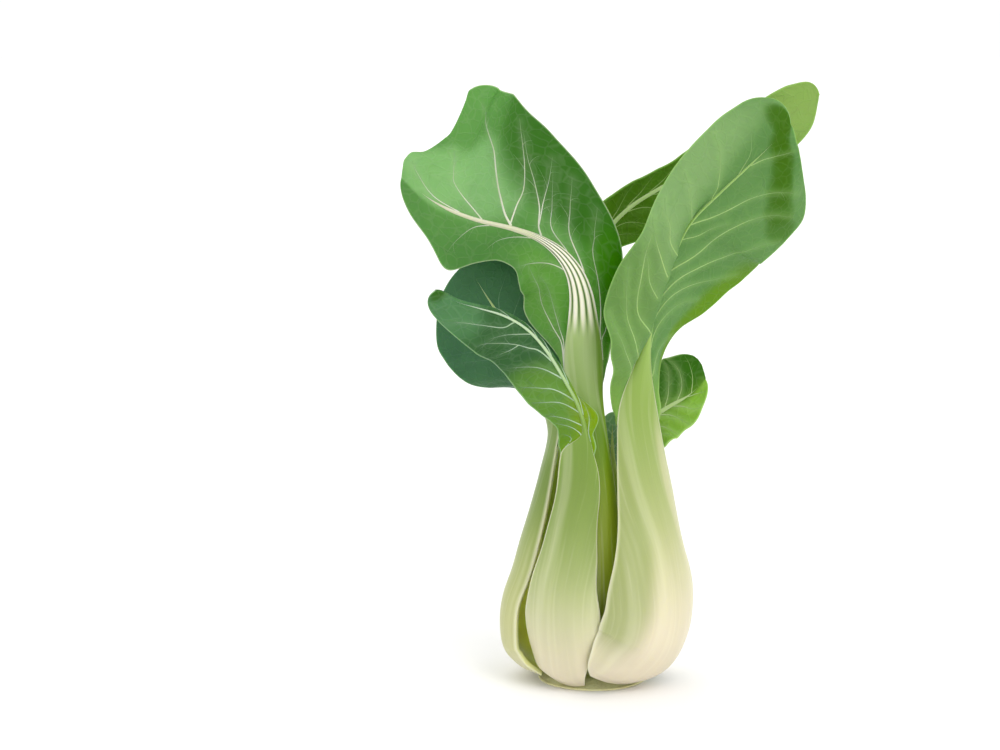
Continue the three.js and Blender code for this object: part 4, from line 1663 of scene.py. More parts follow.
RIGHT_GREEN = BladeFinish(
    outer=(0.12, 0.25, 0.075),
    inner=(0.07, 0.22, 0.02),
    deep=(0.085, 0.205, 0.05),
    young=(0.20, 0.36, 0.06),
    vein=GREEN_VEIN,
    vein_halo_and_relief_shade=0.15,
    patches=(
        # Painted light: a pale patch on the left half's fold, where light from the left falls on it.
        Patch(0.76, -0.75, 0.3, 0.75, (0.205, 0.34, 0.13), 0.95),
        Patch(0.62, -0.75, 0.17, 0.75, (0.12, 0.235, 0.06), 0.9),
        Patch(0.58, -0.9, 0.16, 0.75, (0.13, 0.25, 0.065), 0.7),
        Patch(0.99, -0.28, 0.035, 0.58, BAND, 0.9),
        Patch(0.975, 0.2, 0.043, 0.5, BAND, 0.9),
        Patch(0.955, 0.43, 0.038, 0.42, BAND, 0.85),
        Patch(0.93, 0.44, 0.038, 0.29, BAND, 0.8),
        Patch(0.905, 0.5, 0.038, 0.26, BAND, 0.75),
        Patch(0.88, 0.64, 0.034, 0.25, BAND, 0.7),
        Patch(0.86, 0.82, 0.032, 0.25, BAND, 0.65),
        Patch(0.64, 1.0, 0.16, 0.5, (0.11, 0.235, 0.006), 0.95),
    ),
)
TALL_GREEN = BladeFinish(
    outer=(0.105, 0.27, 0.06),
    inner=(0.07, 0.22, 0.02),
    deep=(0.07, 0.20, 0.045),
    young=(0.16, 0.33, 0.05),
    vein=WHITE_VEIN,
    net=0.035,
    patches=(
        Patch(0.88, 0.3, 0.1, 0.45, (0.20, 0.395, 0.145), 0.85),
        Patch(0.96, 0.15, 0.08, 0.4, (0.21, 0.42, 0.145), 0.85),
        # Painted shade: the two dark patches on the right half, where it lies in shade beside the right
        # leaf.
        Patch(0.75, 0.8, 0.18, 0.75, (0.03, 0.125, 0.008), 1.0),
        Patch(0.62, 0.6, 0.13, 1.0, (0.043, 0.195, 0.0), 1.0),
        Patch(0.68, -0.5, 0.16, 0.7, (0.12, 0.31, 0.045), 0.8),
    ),
)
FRONT_GREEN = BladeFinish(
    outer=(0.038, 0.115, 0.034),
    inner=(0.10, 0.24, 0.04),
    deep=(0.03, 0.10, 0.03),
    young=(0.135, 0.265, 0.004),
    vein=(0.46, 0.66, 0.42),
    patches=(
        Patch(0.62, -0.5, 0.15, 1.2, (0.125, 0.27, 0.035), 0.85),
        Patch(0.96, -0.4, 0.09, 1.0, (0.09, 0.23, 0.09), 0.75),
        Patch(1.0, -0.1, 0.03, 0.9, (0.035, 0.12, 0.012), 1.0),
        Patch(0.56, 0.7, 0.16, 1.3, (0.18, 0.29, 0.001), 1.0),
    ),
)
LEFT_GREEN = BladeFinish(
    outer=(0.05, 0.14, 0.06),
    inner=(0.05, 0.15, 0.03),
    deep=(0.03, 0.09, 0.045),
    young=(0.10, 0.22, 0.03),
    vein=(0.14, 0.28, 0.14),
)
FAR_GREEN = BladeFinish(
    outer=(0.08, 0.19, 0.02),
    inner=(0.065, 0.165, 0.004),
    inner_patches=(Patch(1.0, 0.0, 0.14, 2.0, (0.24, 0.37, 0.09), 0.95),),
    deep=(0.06, 0.17, 0.02),
    young=(0.16, 0.30, 0.03),
    vein=(0.27, 0.44, 0.12),
)
SMALL_GREEN = BladeFinish(
    outer=(0.10, 0.24, 0.04),
    inner=(0.20, 0.38, 0.04),
    deep=(0.06, 0.17, 0.02),
    young=(0.22, 0.40, 0.05),
    vein=(0.48, 0.66, 0.28),
    vein_halo_and_relief_shade=0.2,
    inner_patches=(Patch(0.96, 0.75, 0.32, 1.15, (0.03, 0.12, 0.004), 1.0),),
)
HEART_GREEN = BladeFinish(
    outer=(0.22, 0.40, 0.20),
    inner=(0.22, 0.40, 0.17),
    deep=(0.15, 0.30, 0.13),
    young=(0.22, 0.34, 0.04),
    vein=(0.52, 0.68, 0.44),
    net=0.3,
)
GREEN = FAR_GREEN

RIGHT_LEAF_LEFT_VEINS = (
    Vein(((0.6, 0.2), (0.636, 0.52), (0.683, 0.62), (0.716, 0.74), (0.746, 0.83), (0.762, 0.92)), 0.3),
    Vein(((0.56, 0.25), (0.589, 0.54), (0.624, 0.65), (0.657, 0.75), (0.69, 0.88)), 0.26),
    Vein(((0.53, 0.25), (0.556, 0.56), (0.586, 0.8), (0.62, 0.92)), 0.24),
    Vein(((0.69, 0.2), (0.719, 0.49), (0.737, 0.69), (0.755, 0.87)), 0.28),
    Vein(((0.725, 0.15), (0.743, 0.41), (0.761, 0.52), (0.772, 0.69), (0.785, 0.85)), 0.26),
    Vein(((0.825, 0), (0.84, 0.1), (0.853, 0.21), (0.867, 0.35), (0.885, 0.6), (0.895, 0.85)), 0.2),
    Vein(((0.88, 0), (0.894, 0.05), (0.911, 0.12), (0.93, 0.35), (0.945, 0.7)), 0.18),
    Vein(((0.77, 0), (0.79, 0.2), (0.81, 0.45), (0.825, 0.8)), 0.2),
    Vein(((0.655, 0.25), (0.675, 0.45), (0.7, 0.6), (0.725, 0.85)), 0.2),
)
RIGHT_LEAF_RIGHT_VEINS = (
    Vein(
        (
            (0.775, 0), (0.802, 0.11), (0.832, 0.19), (0.861, 0.25), (0.888, 0.36), (0.907, 0.56),
            (0.918, 0.8),
        ),
        0.3,
    ),
    Vein(((0.749, 0), (0.767, 0.13), (0.796, 0.22), (0.815, 0.3)), 0.2),
    Vein(((0.695, 0), (0.743, 0.23), (0.811, 0.37), (0.841, 0.45), (0.867, 0.58), (0.885, 0.8)), 0.32),
    Vein(((0.651, 0), (0.689, 0.15), (0.722, 0.35), (0.761, 0.58), (0.823, 0.78), (0.845, 0.92)), 0.32),
    Vein(((0.621, 0), (0.657, 0.15), (0.683, 0.35), (0.701, 0.58), (0.722, 0.85)), 0.28),
    Vein(((0.575, 0), (0.589, 0.04), (0.621, 0.17), (0.648, 0.35), (0.665, 0.65)), 0.26),
    Vein(((0.53, 0.05), (0.544, 0.17), (0.574, 0.4), (0.591, 0.72)), 0.24),
    Vein(((0.904, 0), (0.925, 0.06), (0.942, 0.19), (0.957, 0.51), (0.962, 0.75)), 0.22),
)
RIGHT_LEAF = Leaf(
    name="leaf_right",
    spine=[
        (12, -12.8, 1.1), (18.2, -19, 4.9), (24.5, -22.2, 13.5), (27.3, -22.4, 25), (26.9, -21.5, 37),
        (24.6, -19.4, 50.8), (19.6, -16, 68), (16.6, -14, 82), (15, -12.5, 95.2), (16.2, -12.5, 111.1),
        (19.4, -13.5, 127.4), (24, -15, 141.7), (30.3, -16.5, 155.5), (38.8, -18, 164.6),
        (48.1, -20, 173.7), (57.1, -22, 182.8), (63.4, -24, 190.2),
    ],
    facing=[
        (0, -48, 0), (0.14, -42, 0), (0.25, -42, 0), (0.38, -55, 0), (0.5, -67, 0), (0.63, -67, 0),
        (0.72, -70, 0), (0.82, -78, -5), (1, -85, -10),
    ],
    stalk=[
        (0, 18, 8.5), (0.01, 21.8, 9), (0.02, 23.7, 9.7), (0.03, 25, 10.5), (0.05, 26.2, 13),
        (0.09, 27.6, 18), (0.12, 28, 22), (0.15, 27.5, 25.5), (0.2, 25.7, 25.5), (0.27, 20.5, 20),
        (0.35, 13.8), (0.42, 10), (0.48, 7.5), (0.55, 3), (0.6, 1.1), (0.64, 0.7), (0.75, 0.5),
        (0.88, 0.35),
    ],
    flesh=[(0, 3), (0.1, 6), (0.2, 6.5), (0.35, 5.5), (0.48, 4), (0.55, 3), (0.63, 2.2), (0.88, 1.4)],
    cup=[
        (0, 28, 45), (0.01, 43, 46), (0.02, 55, 48), (0.03, 60, 50), (0.05, 62, 56), (0.09, 69, 61),
        (0.12, 73, 63), (0.15, 75, 64), (0.2, 74, 60), (0.27, 63), (0.35, 48), (0.42, 40), (0.48, 34),
        (0.55, 20), (0.63, 5),
    ],
    starts=0.47,
    tip=0.9,
    left=Half(
        reach=[
            (0.47, 9.2), (0.5, 11), (0.54, 15), (0.57, 18.8), (0.61, 22.5), (0.64, 23), (0.68, 22),
            (0.71, 19.4), (0.75, 16.8), (0.78, 17), (0.82, 18.2), (0.89, 18.1), (0.94, 19), (0.97, 22),
            (1, 28),
        ],
        lean=[
            (0.47, -50), (0.55, -110), (0.61, -165), (0.7, -165), (0.75, -125), (0.8, -75), (0.88, -25),
            (1, 0),
        ],
        fold=[
            (0.47, 0), (0.53, 0), (0.575, 70), (0.625, 150), (0.7, 150), (0.75, 100), (0.8, 50),
            (0.88, 15), (1, 0),
        ],
        curl=[(0.47, 50), (0.54, 90), (0.58, 60), (0.62, 28), (0.75, 35), (1, 25)],
        lean_run=0.07,
        fold_at=0.09,
        fold_run=0.11,
        trim=[(0, -3.1), (1.5, -1.7), (3.3, -0.5), (6.4, 0.6), (9.2, 0.9), (13, 0.3), (16, 0)],
        rule=None,
        veins=RIGHT_LEAF_LEFT_VEINS,
    ),
    right=Half(
        reach=[
            (0.47, 8), (0.5, 7.4), (0.54, 9), (0.57, 10.8), (0.61, 14.4), (0.64, 20.7), (0.68, 26.9),
            (0.7, 30.4), (0.715, 32.9), (0.731, 35), (0.747, 35.6), (0.764, 34.8), (0.78, 33.3),
            (0.796, 32.3), (0.812, 31.8), (0.83, 32), (0.885, 32.5), (0.92, 27), (0.94, 20), (0.97, 11),
            (1, 8),
        ],
        curl=[(0.47, 10), (0.7, 20), (1, 30)],
        phase=0.3,
        trim=[(0, -3.1), (2, -3.4), (4, -3.1), (6.7, -1.9), (8.5, -1), (11.2, -0.3), (14, 0)],
        rule=None,
        veins=RIGHT_LEAF_RIGHT_VEINS,
    ),
    ripple=Ripple(height=1, waves=6),
    flesh_finish=RIGHT_STALK,
    green=RIGHT_GREEN,
)
FRONT_LEAF_LEFT_VEINS = (
    Vein(((0.835, 0), (0.854, 0.22), (0.896, 0.34), (0.932, 0.5), (0.95, 0.75)), 0.28),
    Vein(((0.792, 0), (0.803, 0.09), (0.826, 0.26), (0.85, 0.45), (0.865, 0.6)), 0.22),
    Vein(((0.718, 0), (0.753, 0.09), (0.772, 0.22), (0.815, 0.46), (0.865, 0.69), (0.885, 0.85)), 0.34),
    Vein(((0.788, 0.3), (0.79, 0.55), (0.8, 0.8)), 0.2),
    Vein(((0.675, 0), (0.71, 0.22), (0.734, 0.54), (0.749, 0.88)), 0.3),
    Vein(((0.621, 0), (0.66, 0.26), (0.675, 0.5), (0.687, 0.76), (0.693, 0.93)), 0.28),
    Vein(((0.594, 0), (0.629, 0.34), (0.648, 0.76), (0.655, 0.93)), 0.26),
    Vein(((0.565, 0), (0.586, 0.42), (0.602, 0.79), (0.608, 0.94)), 0.24),
    Vein(((0.545, 0), (0.563, 0.34), (0.575, 0.76), (0.58, 0.94)), 0.22),
    Vein(((0.52, 0), (0.54, 0.35), (0.55, 0.8)), 0.2),
)
FRONT_LEAF = Leaf(
    name="leaf_front",
    spine=[
        (-7.6, -15.7, 1.1), (-9.9, -20.8, 5), (-11.5, -24.3, 13.8), (-12.5, -25.6, 25),
        (-11.9, -24.5, 36), (-9.6, -22.5, 46), (-7.3, -20.8, 56), (-4.2, -19.6, 68), (-3, -19.5, 78),
        (-3.4, -20, 87.4), (-5.9, -22, 96.6), (-11.4, -25.5, 107.3), (-16.8, -29, 116.2),
        (-22.8, -32.5, 123.1), (-29.9, -36, 127.7), (-38.2, -39.5, 130.6), (-44.8, -42, 132.8),
        (-50.1, -44, 135.9),
    ],
    facing=[
        (0, -116, 0), (0.2, -112, 0), (0.37, -106, 0), (0.5, -92, 0), (0.58, -92, 0), (0.7, -98, -5),
        (0.85, -103, -8), (1, -108, -10),
    ],
    stalk=[
        (0, 8, 5), (0.04, 11.6, 7.2), (0.07, 13.2, 9.2), (0.1, 14.2, 11.2), (0.17, 15.3, 14.6),
        (0.24, 13.2, 12.8), (0.3, 11.4, 10.7), (0.37, 10.2, 8), (0.44, 9.6, 5.8), (0.47, 9.4, 4.5),
        (0.49, 9.1, 3.3), (0.51, 8.5, 2.1), (0.53, 5, 1.5), (0.54, 1.8, 1.1), (0.555, 0.8, 0.8),
        (0.62, 0.55), (0.75, 0.5), (0.85, 0.4),
    ],
    flesh=[(0, 3), (0.1, 5), (0.2, 5.5), (0.44, 4.5), (0.51, 3.6), (0.6, 2), (0.75, 1.5), (0.85, 1.3)],
    cup=[(0, 26), (0.1, 45), (0.17, 46), (0.38, 45), (0.44, 36), (0.51, 20), (0.57, 10), (0.65, 0)],
    starts=0.51,
    tip=0.9,
    left=Half(
        reach=[
            (0.51, 9.4), (0.525, 9.8), (0.54, 9.8), (0.56, 9.5), (0.6, 11.8), (0.63, 13.3), (0.69, 15.9),
            (0.73, 17.1), (0.79, 17.6), (0.86, 16.7), (0.89, 15.4), (0.92, 14), (0.96, 13), (1, 15),
        ],
        curl=[(0.5, 10), (1, 20)],
        trim=[(0, 1.6), (4, 2.4), (8, 1.8), (12, 0.3), (14, 0)],
        rule=None,
        veins=FRONT_LEAF_LEFT_VEINS,
    ),
    right=Half(
        reach=[
            (0.51, 2.4), (0.53, 1.8), (0.545, 2.6), (0.557, 5), (0.57, 7.4), (0.583, 7.6), (0.62, 6),
            (0.9, 7), (1, 6),
        ],
        lean=[(0.51, -10), (0.55, 10), (0.59, 70), (0.64, 110), (0.9, 105), (1, 80)],
        curl=[(0.51, -10), (0.62, 0), (0.75, 30), (1, 30)],
        trim=[(0, 1.6), (4, 1), (8, 0)],
        rule=VeinRule(count=6, first=0.53, last=0.85, width=0.2),
    ),
    ripple=Ripple(height=0.6, waves=5),
    flesh_finish=FRONT_STALK,
    green=FRONT_GREEN,
    seed=3,
)
LEFT_LEAF = Leaf(
    name="leaf_left",
    spine=[
        (-17.4, 0.6, 1.1), (-24.5, 1.2, 3.9), (-29.8, 2, 9.5), (-31.4, 2.2, 19), (-30.4, 2.2, 28),
        (-27.2, 2.2, 37.6), (-24.5, 2, 47.6), (-21.8, 2, 56.5), (-18, 1.5, 70.7), (-15.2, 1, 85),
        (-17.9, 1, 100), (-24.6, 2, 112.6), (-32.3, 4, 124.4), (-38.7, 6, 134.3), (-42, 8, 140.8),
    ],
    facing=[(0, 178, 0), (0.56, 180, 0), (0.67, 222, 0), (0.76, 245, 0), (0.88, 255, -5), (1, 258, -10)],
    stalk=[
        (0, 12.5, 13), (0.03, 16, 15.4), (0.06, 19.5, 16), (0.1, 22, 16), (0.16, 22.5, 16),
        (0.22, 20, 15), (0.35, 16.5, 14.5), (0.41, 13.5, 13), (0.5, 10), (0.6, 7), (0.65, 4.5), (0.72, 2),
        (0.8, 0.9),
    ],
    flesh=[(0, 3), (0.1, 5), (0.3, 5), (0.5, 4.5), (0.6, 3.5), (0.7, 2), (0.88, 1.3)],
    cup=[
        (0, 24, 10), (0.05, 42, 24), (0.1, 56, 37), (0.16, 60, 43), (0.22, 60, 44), (0.35, 55, 50),
        (0.5, 49), (0.6, 45), (0.7, 15), (0.78, 0),
    ],
    starts=0.58,
    tip=0.87,
    left=Half(
        reach=[
            (0.58, 9), (0.64, 11.5), (0.7, 18), (0.75, 24), (0.8, 26), (0.87, 26), (0.94, 24), (1, 20),
        ],
        curl=[(0.5, 20), (1, 10)],
        rule=VeinRule(count=6, first=0.62, last=0.88, width=0.24),
    ),
    right=Half(
        reach=[(0.58, 9), (0.64, 8), (0.7, 10), (0.78, 14), (0.87, 17), (1, 15)],
        curl=[(0.5, 20), (1, 10)],
        rule=VeinRule(count=5, first=0.62, last=0.88, width=0.24),
    ),
    ripple=Ripple(height=0.8, waves=5),
    flesh_finish=LEFT_STALK,
    green=LEFT_GREEN,
    seed=4,
)
TALL_LEAF_LEFT_VEINS = (
    Vein(((0.535, 0.05), (0.564, 0.13), (0.599, 0.41), (0.665, 0.61), (0.72, 0.6), (0.772, 0.55)), 0.28),
    Vein(((0.53, 0), (0.561, 0.04), (0.595, 0.21), (0.646, 0.36), (0.728, 0.5)), 0.26),
    Vein(((0.78, 0), (0.8, 0.1), (0.83, 0.35), (0.85, 0.7)), 0.18),
    Vein(((0.85, 0), (0.87, 0.1), (0.89, 0.4), (0.9, 0.8)), 0.18),
    Vein(((0.7, 0), (0.73, 0.2), (0.76, 0.5), (0.78, 0.8)), 0.2),
)
TALL_LEAF_RIGHT_VEINS = (
    Vein(((0.864, 0), (0.876, 0.04), (0.911, 0.15), (0.949, 0.3), (0.985, 0.44)), 0.3),
    Vein(((0.816, 0), (0.829, 0.08), (0.845, 0.23), (0.879, 0.51), (0.93, 0.7), (0.975, 0.82)), 0.52),
    Vein(((0.818, 0.02), (0.816, 0.19), (0.813, 0.34), (0.82, 0.56), (0.829, 0.72), (0.84, 0.88)), 0.34),
    Vein(((0.766, 0), (0.775, 0.08), (0.785, 0.28), (0.8, 0.45), (0.816, 0.6), (0.83, 0.8)), 0.38),
    Vein(((0.776, 0.1), (0.782, 0.34), (0.785, 0.58), (0.79, 0.8)), 0.24),
    Vein(((0.681, 0), (0.728, 0.19), (0.75, 0.48), (0.765, 0.8)), 0.3),
    Vein(((0.575, 0), (0.589, 0.04), (0.617, 0.17), (0.681, 0.28), (0.712, 0.55), (0.73, 0.85)), 0.34),
    Vein(((0.54, 0), (0.567, 0.05), (0.589, 0.37), (0.617, 0.74), (0.63, 0.95)), 0.26),
    Vein(((0.9, 0), (0.942, 0.03), (0.975, 0.1), (0.99, 0.16)), 0.22),
    Vein(((0.72, 0), (0.755, 0.12), (0.77, 0.35), (0.785, 0.7)), 0.22),
)
TALL_LEAF = Leaf(
    name="leaf_tall",
    spine=[
        (2.5, -9.4, 4.4), (4.5, -15, 9), (5, -18, 17), (4.6, -18.5, 28), (4.2, -17, 45), (3.5, -15, 62),
        (1.1, -12.8, 80), (-1.9, -11.4, 96), (-3.6, -10.8, 109.9), (-4, -10.5, 123.4), (-4.7, -10.3, 132),
        (-7, -10.3, 139.2), (-11.7, -10.2, 145.5), (-18.2, -10.2, 150.1), (-26.7, -10, 153.3),
        (-40.1, -9.5, 156.6), (-51.6, -9, 161.4), (-61.6, -9, 168.6),
    ],
    facing=[(0, -75, 0), (0.3, -80, 0), (0.5, -88, 0), (0.65, -90, 0), (0.8, -90, 10), (1, -90, 14)],
    stalk=[
        (0, 6), (0.08, 10, 9), (0.13, 12, 8.5), (0.22, 12, 6), (0.3, 11, 5), (0.39, 9.5, 4.5),
        (0.47, 8, 5.2), (0.54, 7, 6.6), (0.61, 5), (0.65, 3.9), (0.69, 2.8), (0.73, 1.9), (0.77, 1.1),
        (0.82, 0.8), (0.9, 0.6),
    ],
    flesh=[(0, 2.5), (0.08, 4.5), (0.13, 5), (0.3, 5), (0.47, 4), (0.61, 3), (0.7, 2.2), (0.9, 1.4)],
    cup=[(0, 35), (0.13, 45), (0.3, 45), (0.47, 38), (0.54, 30), (0.61, 25), (0.68, 10), (0.75, 0)],
    starts=0.5,
    tip=0.93,
    left=Half(
        reach=[
            (0.5, 8.2), (0.53, 8.2), (0.56, 11.6), (0.6, 18.8), (0.63, 21.1), (0.69, 19.4), (0.73, 18.6),
            (0.76, 16.3), (0.79, 12.9), (0.82, 12.5), (0.86, 14.6), (0.89, 19.5), (0.92, 13.7),
            (0.94, 11), (1, 9),
        ],
        trim=[(0, 2.3), (8, 0.5), (20, 0)],
        lean=[(0.5, 0), (0.68, 0), (0.75, 15), (0.82, 20), (1, 20)],
        curl=[(0.5, 15), (1, 10)],
        rule=None,
        veins=TALL_LEAF_LEFT_VEINS,
    ),
    right=Half(
        reach=[
            (0.5, 7.6), (0.53, 8), (0.56, 9), (0.6, 11), (0.63, 12.6), (0.66, 15.4), (0.69, 18.2),
            (0.73, 22.2), (0.76, 27.6), (0.79, 33.2), (0.82, 37.8), (0.86, 43.6), (0.89, 44.8),
            (0.92, 45), (0.945, 44.8), (0.96, 45.2), (0.975, 45.6), (0.99, 44.5), (1, 41.5),
        ],
        trim=[
            (0, 2.3), (2.9, 3.9), (5.7, 5.1), (8.5, 4.8), (11.3, 1.6), (14, 0.2), (19.2, -1.4),
            (21.6, -1.9), (24, -1.7), (28.6, -0.9), (34, 0.4), (37, 1.4), (41, 1.9), (46, 1.5),
        ],
        curl=[(0.5, 10), (1, 15)],
        blunt=0.9,
        phase=0.3,
        rule=None,
        veins=TALL_LEAF_RIGHT_VEINS,
    ),
    ripple=Ripple(height=1.2, waves=7),
    flesh_finish=TALL_STALK,
    green=TALL_GREEN,
    seed=2,
    stalk_ribs=4,
    rib_height=0.6,
)
BACK_RIGHT_LEAF = Leaf(
    name="leaf_back_right",
    spine=[
        (3.8, 8.2, 4.4), (7.5, 14.5, 9), (9, 18.5, 18), (8.5, 19, 32), (6, 17, 52), (2, 15.5, 74),
        (-1.9, 17, 95.8), (-2.2, 20, 111.6), (-0.5, 23, 126.4), (3.7, 28, 146.6), (11.7, 31, 156.3),
        (23.9, 34, 164), (37.8, 37, 171.1), (53.7, 41, 179.5), (67.9, 45, 187.7), (77.5, 48, 193.8),
    ],
    facing=[(0, 65, 0), (0.4, 80, 0), (0.6, 95, 0), (0.8, 100, -10), (1, 105, -15)],
    stalk=[
        (0, 6), (0.08, 9.5), (0.14, 10.5), (0.22, 9.5), (0.32, 7), (0.41, 5), (0.5, 4), (0.56, 2.2),
        (0.62, 0.9), (0.8, 0.6), (0.9, 0.4),
    ],
    flesh=[(0, 2.5), (0.1, 4.5), (0.3, 4), (0.5, 3), (0.62, 2), (0.9, 1.3)],
    cup=[(0, 35), (0.14, 45), (0.4, 42), (0.5, 35), (0.6, 5)],
    starts=0.52,
    tip=0.93,
    left=Half(
        reach=[
            (0.52, 5.5), (0.61, 5.5), (0.64, 8.8), (0.67, 11.6), (0.7, 13.3), (0.74, 14.7), (0.83, 14.1),
            (0.89, 12.2), (0.94, 11), (1, 10),
        ],
        trim=[(0, 3.1), (1.5, 2), (3, 0.9), (4.5, 0.3), (6, 0)],
        rule=VeinRule(count=9, first=0.6, last=0.92, rise=0.07, width=0.24),
    ),
    right=Half(
        reach=[
            (0.52, 6), (0.6, 8.6), (0.64, 9), (0.67, 7.6), (0.7, 7.3), (0.77, 6.6), (0.8, 7.6),
            (0.86, 9.8), (0.92, 10.1), (0.955, 11), (1, 15),
        ],
        trim=[(0, 3.1), (2.3, 3.8), (4.4, 4.1), (6.3, 3.8), (7.9, 2.4), (9, 0.8), (11, 0)],
        rule=VeinRule(count=9, first=0.6, last=0.92, rise=0.07, width=0.24),
    ),
    ripple=Ripple(height=0.6, waves=5),
    green=FAR_GREEN,
    seed=5,
)
SMALL_RIGHT_LEAF = Leaf(
    name="leaf_small_right",
    spine=[
        (13.7, 10.7, 1.1), (18.3, 14.3, 4), (22, 17.2, 11), (23.2, 17.6, 22), (21.8, 16, 36),
        (18.8, 12.5, 52), (16, 8.8, 68), (16.4, 6.6, 79.9), (20.4, 7, 88.1), (26.1, 7.5, 92.1),
        (32.6, 8.5, 95.7), (38.1, 10, 101),
    ],
    facing=[(0, 38, 0), (0.5, 38, 0), (0.7, 60, 0), (0.85, 90, -10), (1, 100, -15)],
    stalk=[
        (0, 8.5), (0.06, 11), (0.13, 13), (0.22, 13.4), (0.34, 12), (0.48, 9), (0.63, 6), (0.73, 3.6),
        (0.79, 1.3), (0.83, 0.8), (0.87, 0.6),
    ],
    flesh=[(0, 3), (0.13, 5), (0.34, 5), (0.63, 3.5), (0.73, 2.8), (0.8, 2), (0.87, 1.3)],
    cup=[(0, 30), (0.13, 45), (0.34, 44), (0.63, 40), (0.75, 25), (0.85, 0)],
    starts=0.7,
    tip=0.92,
    left=Half(
        reach=[
            (0.7, 6), (0.72, 6.2), (0.735, 9.2), (0.75, 11.8), (0.8, 11.4), (0.84, 10.7), (0.87, 9.6),
            (0.9, 9.4), (0.92, 8.4), (0.94, 6.4), (1, 5),
        ],
        rule=VeinRule(count=5, first=0.72, last=0.93, rise=0.08, width=0.3),
    ),
    right=Half(
        reach=[
            (0.7, 7), (0.75, 11), (0.8, 13.5), (0.85, 14.5), (0.9, 15), (0.94, 16), (0.97, 18), (1, 25),
        ],
        trim=[(0, 0.2), (2, 1.3), (5, 2.9), (8, 3.4), (11, 2.6), (14, 0.9), (16, 0)],
        rule=VeinRule(count=6, first=0.72, last=0.94, rise=0.08, width=0.3),
    ),
    ripple=Ripple(height=0.6, waves=6),
    green=SMALL_GREEN,
    seed=6,
    crinkle=0.22,
)
BACK_LEFT_LEAF = Leaf(
    name="leaf_back_left",
    spine=[
        (-6.6, 16.2, 1.1), (-9.2, 22, 4.5), (-11.4, 27.2, 12), (-12.2, 29, 23), (-11.3, 27, 38),
        (-9.5, 23.5, 56), (-8.2, 22, 73.8), (-9.2, 24, 93.4), (-11.9, 30, 115.2), (-17, 38, 137.4),
        (-22.2, 46, 155.3), (-26.7, 53, 169.9),
    ],
    facing=[(0, 112, 0), (0.4, 112, 0), (0.7, 115, -10), (1, 118, -20)],
    stalk=[
        (0, 9, 8.5), (0.04, 12, 10), (0.09, 15, 10.5), (0.15, 15.5, 10.5), (0.23, 14.5, 10.5),
        (0.34, 11, 10), (0.44, 8), (0.55, 6), (0.62, 4), (0.7, 2.2), (0.78, 1.2),
    ],
    flesh=[(0, 3), (0.1, 5.5), (0.3, 5), (0.5, 4), (0.62, 2.5), (0.88, 1.4)],
    cup=[(0, 30, 28), (0.1, 44, 25), (0.23, 44, 28), (0.44, 40, 38), (0.55, 35), (0.7, 10), (0.78, 0)],
    starts=0.52,
    tip=0.85,
    left=Half(
        reach=[(0.52, 7.5), (0.58, 8.5), (0.62, 12), (0.75, 24), (0.9, 25), (1, 20)],
        rule=VeinRule(count=8, first=0.55, last=0.9, rise=0.11, width=0.3),
    ),
    right=Half(
        reach=[(0.52, 9), (0.62, 18), (0.75, 25), (0.9, 25), (1, 20)],
        phase=0.4,
        rule=VeinRule(count=8, first=0.57, last=0.92, rise=0.11, width=0.3),
    ),
    ripple=Ripple(height=1.2, waves=5),
    green=FAR_GREEN,
    seed=7,
)
HEART_FRONT = Leaf(
    name="heart_front",
    spine=[
        (5.2, -1.6, 8.8), (7.6, -2.6, 16), (9.2, -3.4, 34), (8.8, -3.8, 55), (7.2, -4, 70),
        (6.2, -4.4, 80), (6.2, -5.4, 92),
    ],
    facing=[(0, -17, 0), (0.6, -40, 0), (0.75, -65, 0), (1, -80, 0)],
    stalk=[(0, 3), (0.15, 5.5), (0.3, 6.5), (0.5, 6), (0.6, 4), (0.7, 1.8), (0.77, 1), (0.83, 0.7)],
    flesh=[(0, 2), (0.3, 3), (0.7, 2.2), (0.83, 1.4)],
    cup=[(0, 30), (0.3, 40), (0.7, 30), (0.83, 0)],
    starts=0.6,
    tip=0.88,
    left=Half(
        reach=[(0.6, 7), (0.7, 4.5), (0.8, 5), (1, 5)],
        curl=[(0.5, 30), (1, 20)],
        rule=VeinRule(count=5, first=0.66, last=0.92, rise=0.06, width=0.16),
    ),
    right=Half(
        reach=[(0.6, 7), (0.7, 6.5), (0.8, 6.5), (1, 6)],
        curl=[(0.5, 30), (1, 20)],
        rule=VeinRule(count=5, first=0.66, last=0.92, rise=0.06, width=0.16),
    ),
    ripple=Ripple(height=0.9, waves=9),
    flesh_finish=HEART_STALK,
    green=HEART_GREEN,
    seed=8,
    crinkle=0.3,
    pitch=0.4,
)
HEART_LEFT = Leaf(
    name="heart_left",
    spine=[
        (-5.2, 0.8, 8.8), (-7.8, 1.6, 16), (-8.5, 2.5, 34), (-6.5, 3, 52), (-5.5, 3.5, 66), (-6.4, 4, 78),
    ],
    facing=[(0, 172, 0), (1, 150, 0)],
    stalk=[(0, 3), (0.15, 5.5), (0.3, 6), (0.5, 5), (0.7, 3), (0.77, 1.6), (0.83, 0.9)],
    flesh=[(0, 2), (0.3, 3), (0.7, 2.2), (0.83, 1.4)],
    cup=[(0, 30), (0.3, 40), (0.7, 30), (0.83, 0)],
    starts=0.6,
    tip=0.88,
    left=Half(
        reach=[(0.6, 4.5), (0.8, 5), (1, 4)],
        curl=[(0.5, 40), (1, 30)],
        rule=VeinRule(count=4, first=0.66, last=0.92, rise=0.06, width=0.16),
    ),
    right=Half(
        reach=[(0.6, 4.5), (0.8, 5.5), (1, 5)],
        curl=[(0.5, 30), (1, 20)],
        rule=VeinRule(count=4, first=0.66, last=0.92, rise=0.06, width=0.16),
    ),
    ripple=Ripple(height=0.5, waves=6),
    flesh_finish=HEART_STALK,
    green=HEART_GREEN,
    seed=9,
    crinkle=0.25,
    pitch=0.4,
)
